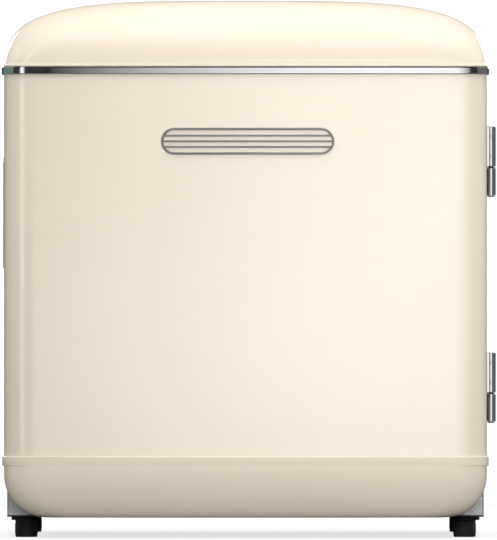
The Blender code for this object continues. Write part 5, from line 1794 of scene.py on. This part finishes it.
class FRIDGE_OT_hinges(bpy.types.Operator):
    """Build the hinge leaves, pins and washers"""

    bl_idname = "fridge.hinges"
    bl_label = "Hinges"
    bl_options = {"REGISTER", "UNDO"}

    def execute(self, context):
        make_hinges()
        return {"FINISHED"}


class FRIDGE_OT_cabinet(bpy.types.Operator):
    """Build the cabinet's sheets, its domed cover and its lining"""

    bl_idname = "fridge.cabinet"
    bl_label = "Cabinet"
    bl_options = {"REGISTER", "UNDO"}

    def execute(self, context):
        make_cabinet_sheets()
        make_top_cover()
        make_lining()
        return {"FINISHED"}


class FRIDGE_OT_feet(bpy.types.Operator):
    """Build the four feet"""

    bl_idname = "fridge.feet"
    bl_label = "Feet"
    bl_options = {"REGISTER", "UNDO"}

    def execute(self, context):
        make_feet()
        return {"FINISHED"}


class FRIDGE_OT_cold_parts(bpy.types.Operator):
    """Build the freezer box with its flap, the drip tray, the thermostat and the shelf"""

    bl_idname = "fridge.cold_parts"
    bl_label = "Freezer, thermostat and shelf"
    bl_options = {"REGISTER", "UNDO"}

    def execute(self, context):
        make_freezer()
        make_drip_tray()
        make_thermostat()
        make_shelf()
        return {"FINISHED"}


class FRIDGE_OT_machine(bpy.types.Operator):
    """Build the compressor, the condenser, the copper parts and the cord entry"""

    bl_idname = "fridge.machine"
    bl_label = "Machine"
    bl_options = {"REGISTER", "UNDO"}

    def execute(self, context):
        make_compressor()
        make_condenser()
        make_refrigerant_parts()
        make_cord_entry()
        return {"FINISHED"}


class FRIDGE_OT_fasteners(bpy.types.Operator):
    """Set the screws, and finish the nodes hidden inside the walls"""

    bl_idname = "fridge.fasteners"
    bl_label = "Fasteners"
    bl_options = {"REGISTER", "UNDO"}

    def execute(self, context):
        make_screws()
        finish_hidden_nodes()
        return {"FINISHED"}


class FRIDGE_OT_stage(bpy.types.Operator):
    """Set up the camera, the floor and the lights"""

    bl_idname = "fridge.stage"
    bl_label = "Stage"
    bl_options = {"REGISTER", "UNDO"}

    def execute(self, context):
        make_stage()
        return {"FINISHED"}


OPERATORS = (FRIDGE_OT_door_skin, FRIDGE_OT_door_trim, FRIDGE_OT_door_inside, FRIDGE_OT_hinges,
             FRIDGE_OT_cabinet, FRIDGE_OT_feet, FRIDGE_OT_cold_parts, FRIDGE_OT_machine,
             FRIDGE_OT_fasteners, FRIDGE_OT_stage)


class FRIDGE_PT_panel(bpy.types.Panel):
    """Sizes, colours and building steps of the fridge"""
    bl_idname = "FRIDGE_PT_panel"
    bl_label = "Mini Fridge"
    bl_space_type = "VIEW_3D"
    bl_region_type = "UI"
    bl_category = "Mini Fridge"

    def draw(self, context):
        layout = self.layout
        for group in (context.scene.fridge_sizes, context.scene.fridge_colours):
            box = layout.box()
            for name in group.bl_rna.properties.keys():
                if name not in {"rna_type", "name"}:
                    box.prop(group, name)
        for operator in OPERATORS:
            layout.operator(operator.bl_idname)


CLASSES = (FridgeColours, FridgeSizes, *OPERATORS, FRIDGE_PT_panel)


def register():
    for item in CLASSES:
        bpy.utils.register_class(item)
    bpy.types.Scene.fridge_colours = bpy.props.PointerProperty(type=FridgeColours)
    bpy.types.Scene.fridge_sizes = bpy.props.PointerProperty(type=FridgeSizes)


def unregister():
    del bpy.types.Scene.fridge_sizes
    del bpy.types.Scene.fridge_colours
    for item in reversed(CLASSES):
        bpy.utils.unregister_class(item)


def main():
    """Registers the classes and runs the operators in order."""
    register()
    for operator in OPERATORS:
        group, name = operator.bl_idname.split(".")
        getattr(getattr(bpy.ops, group), name)()


if __name__ == "__main__":
    main()
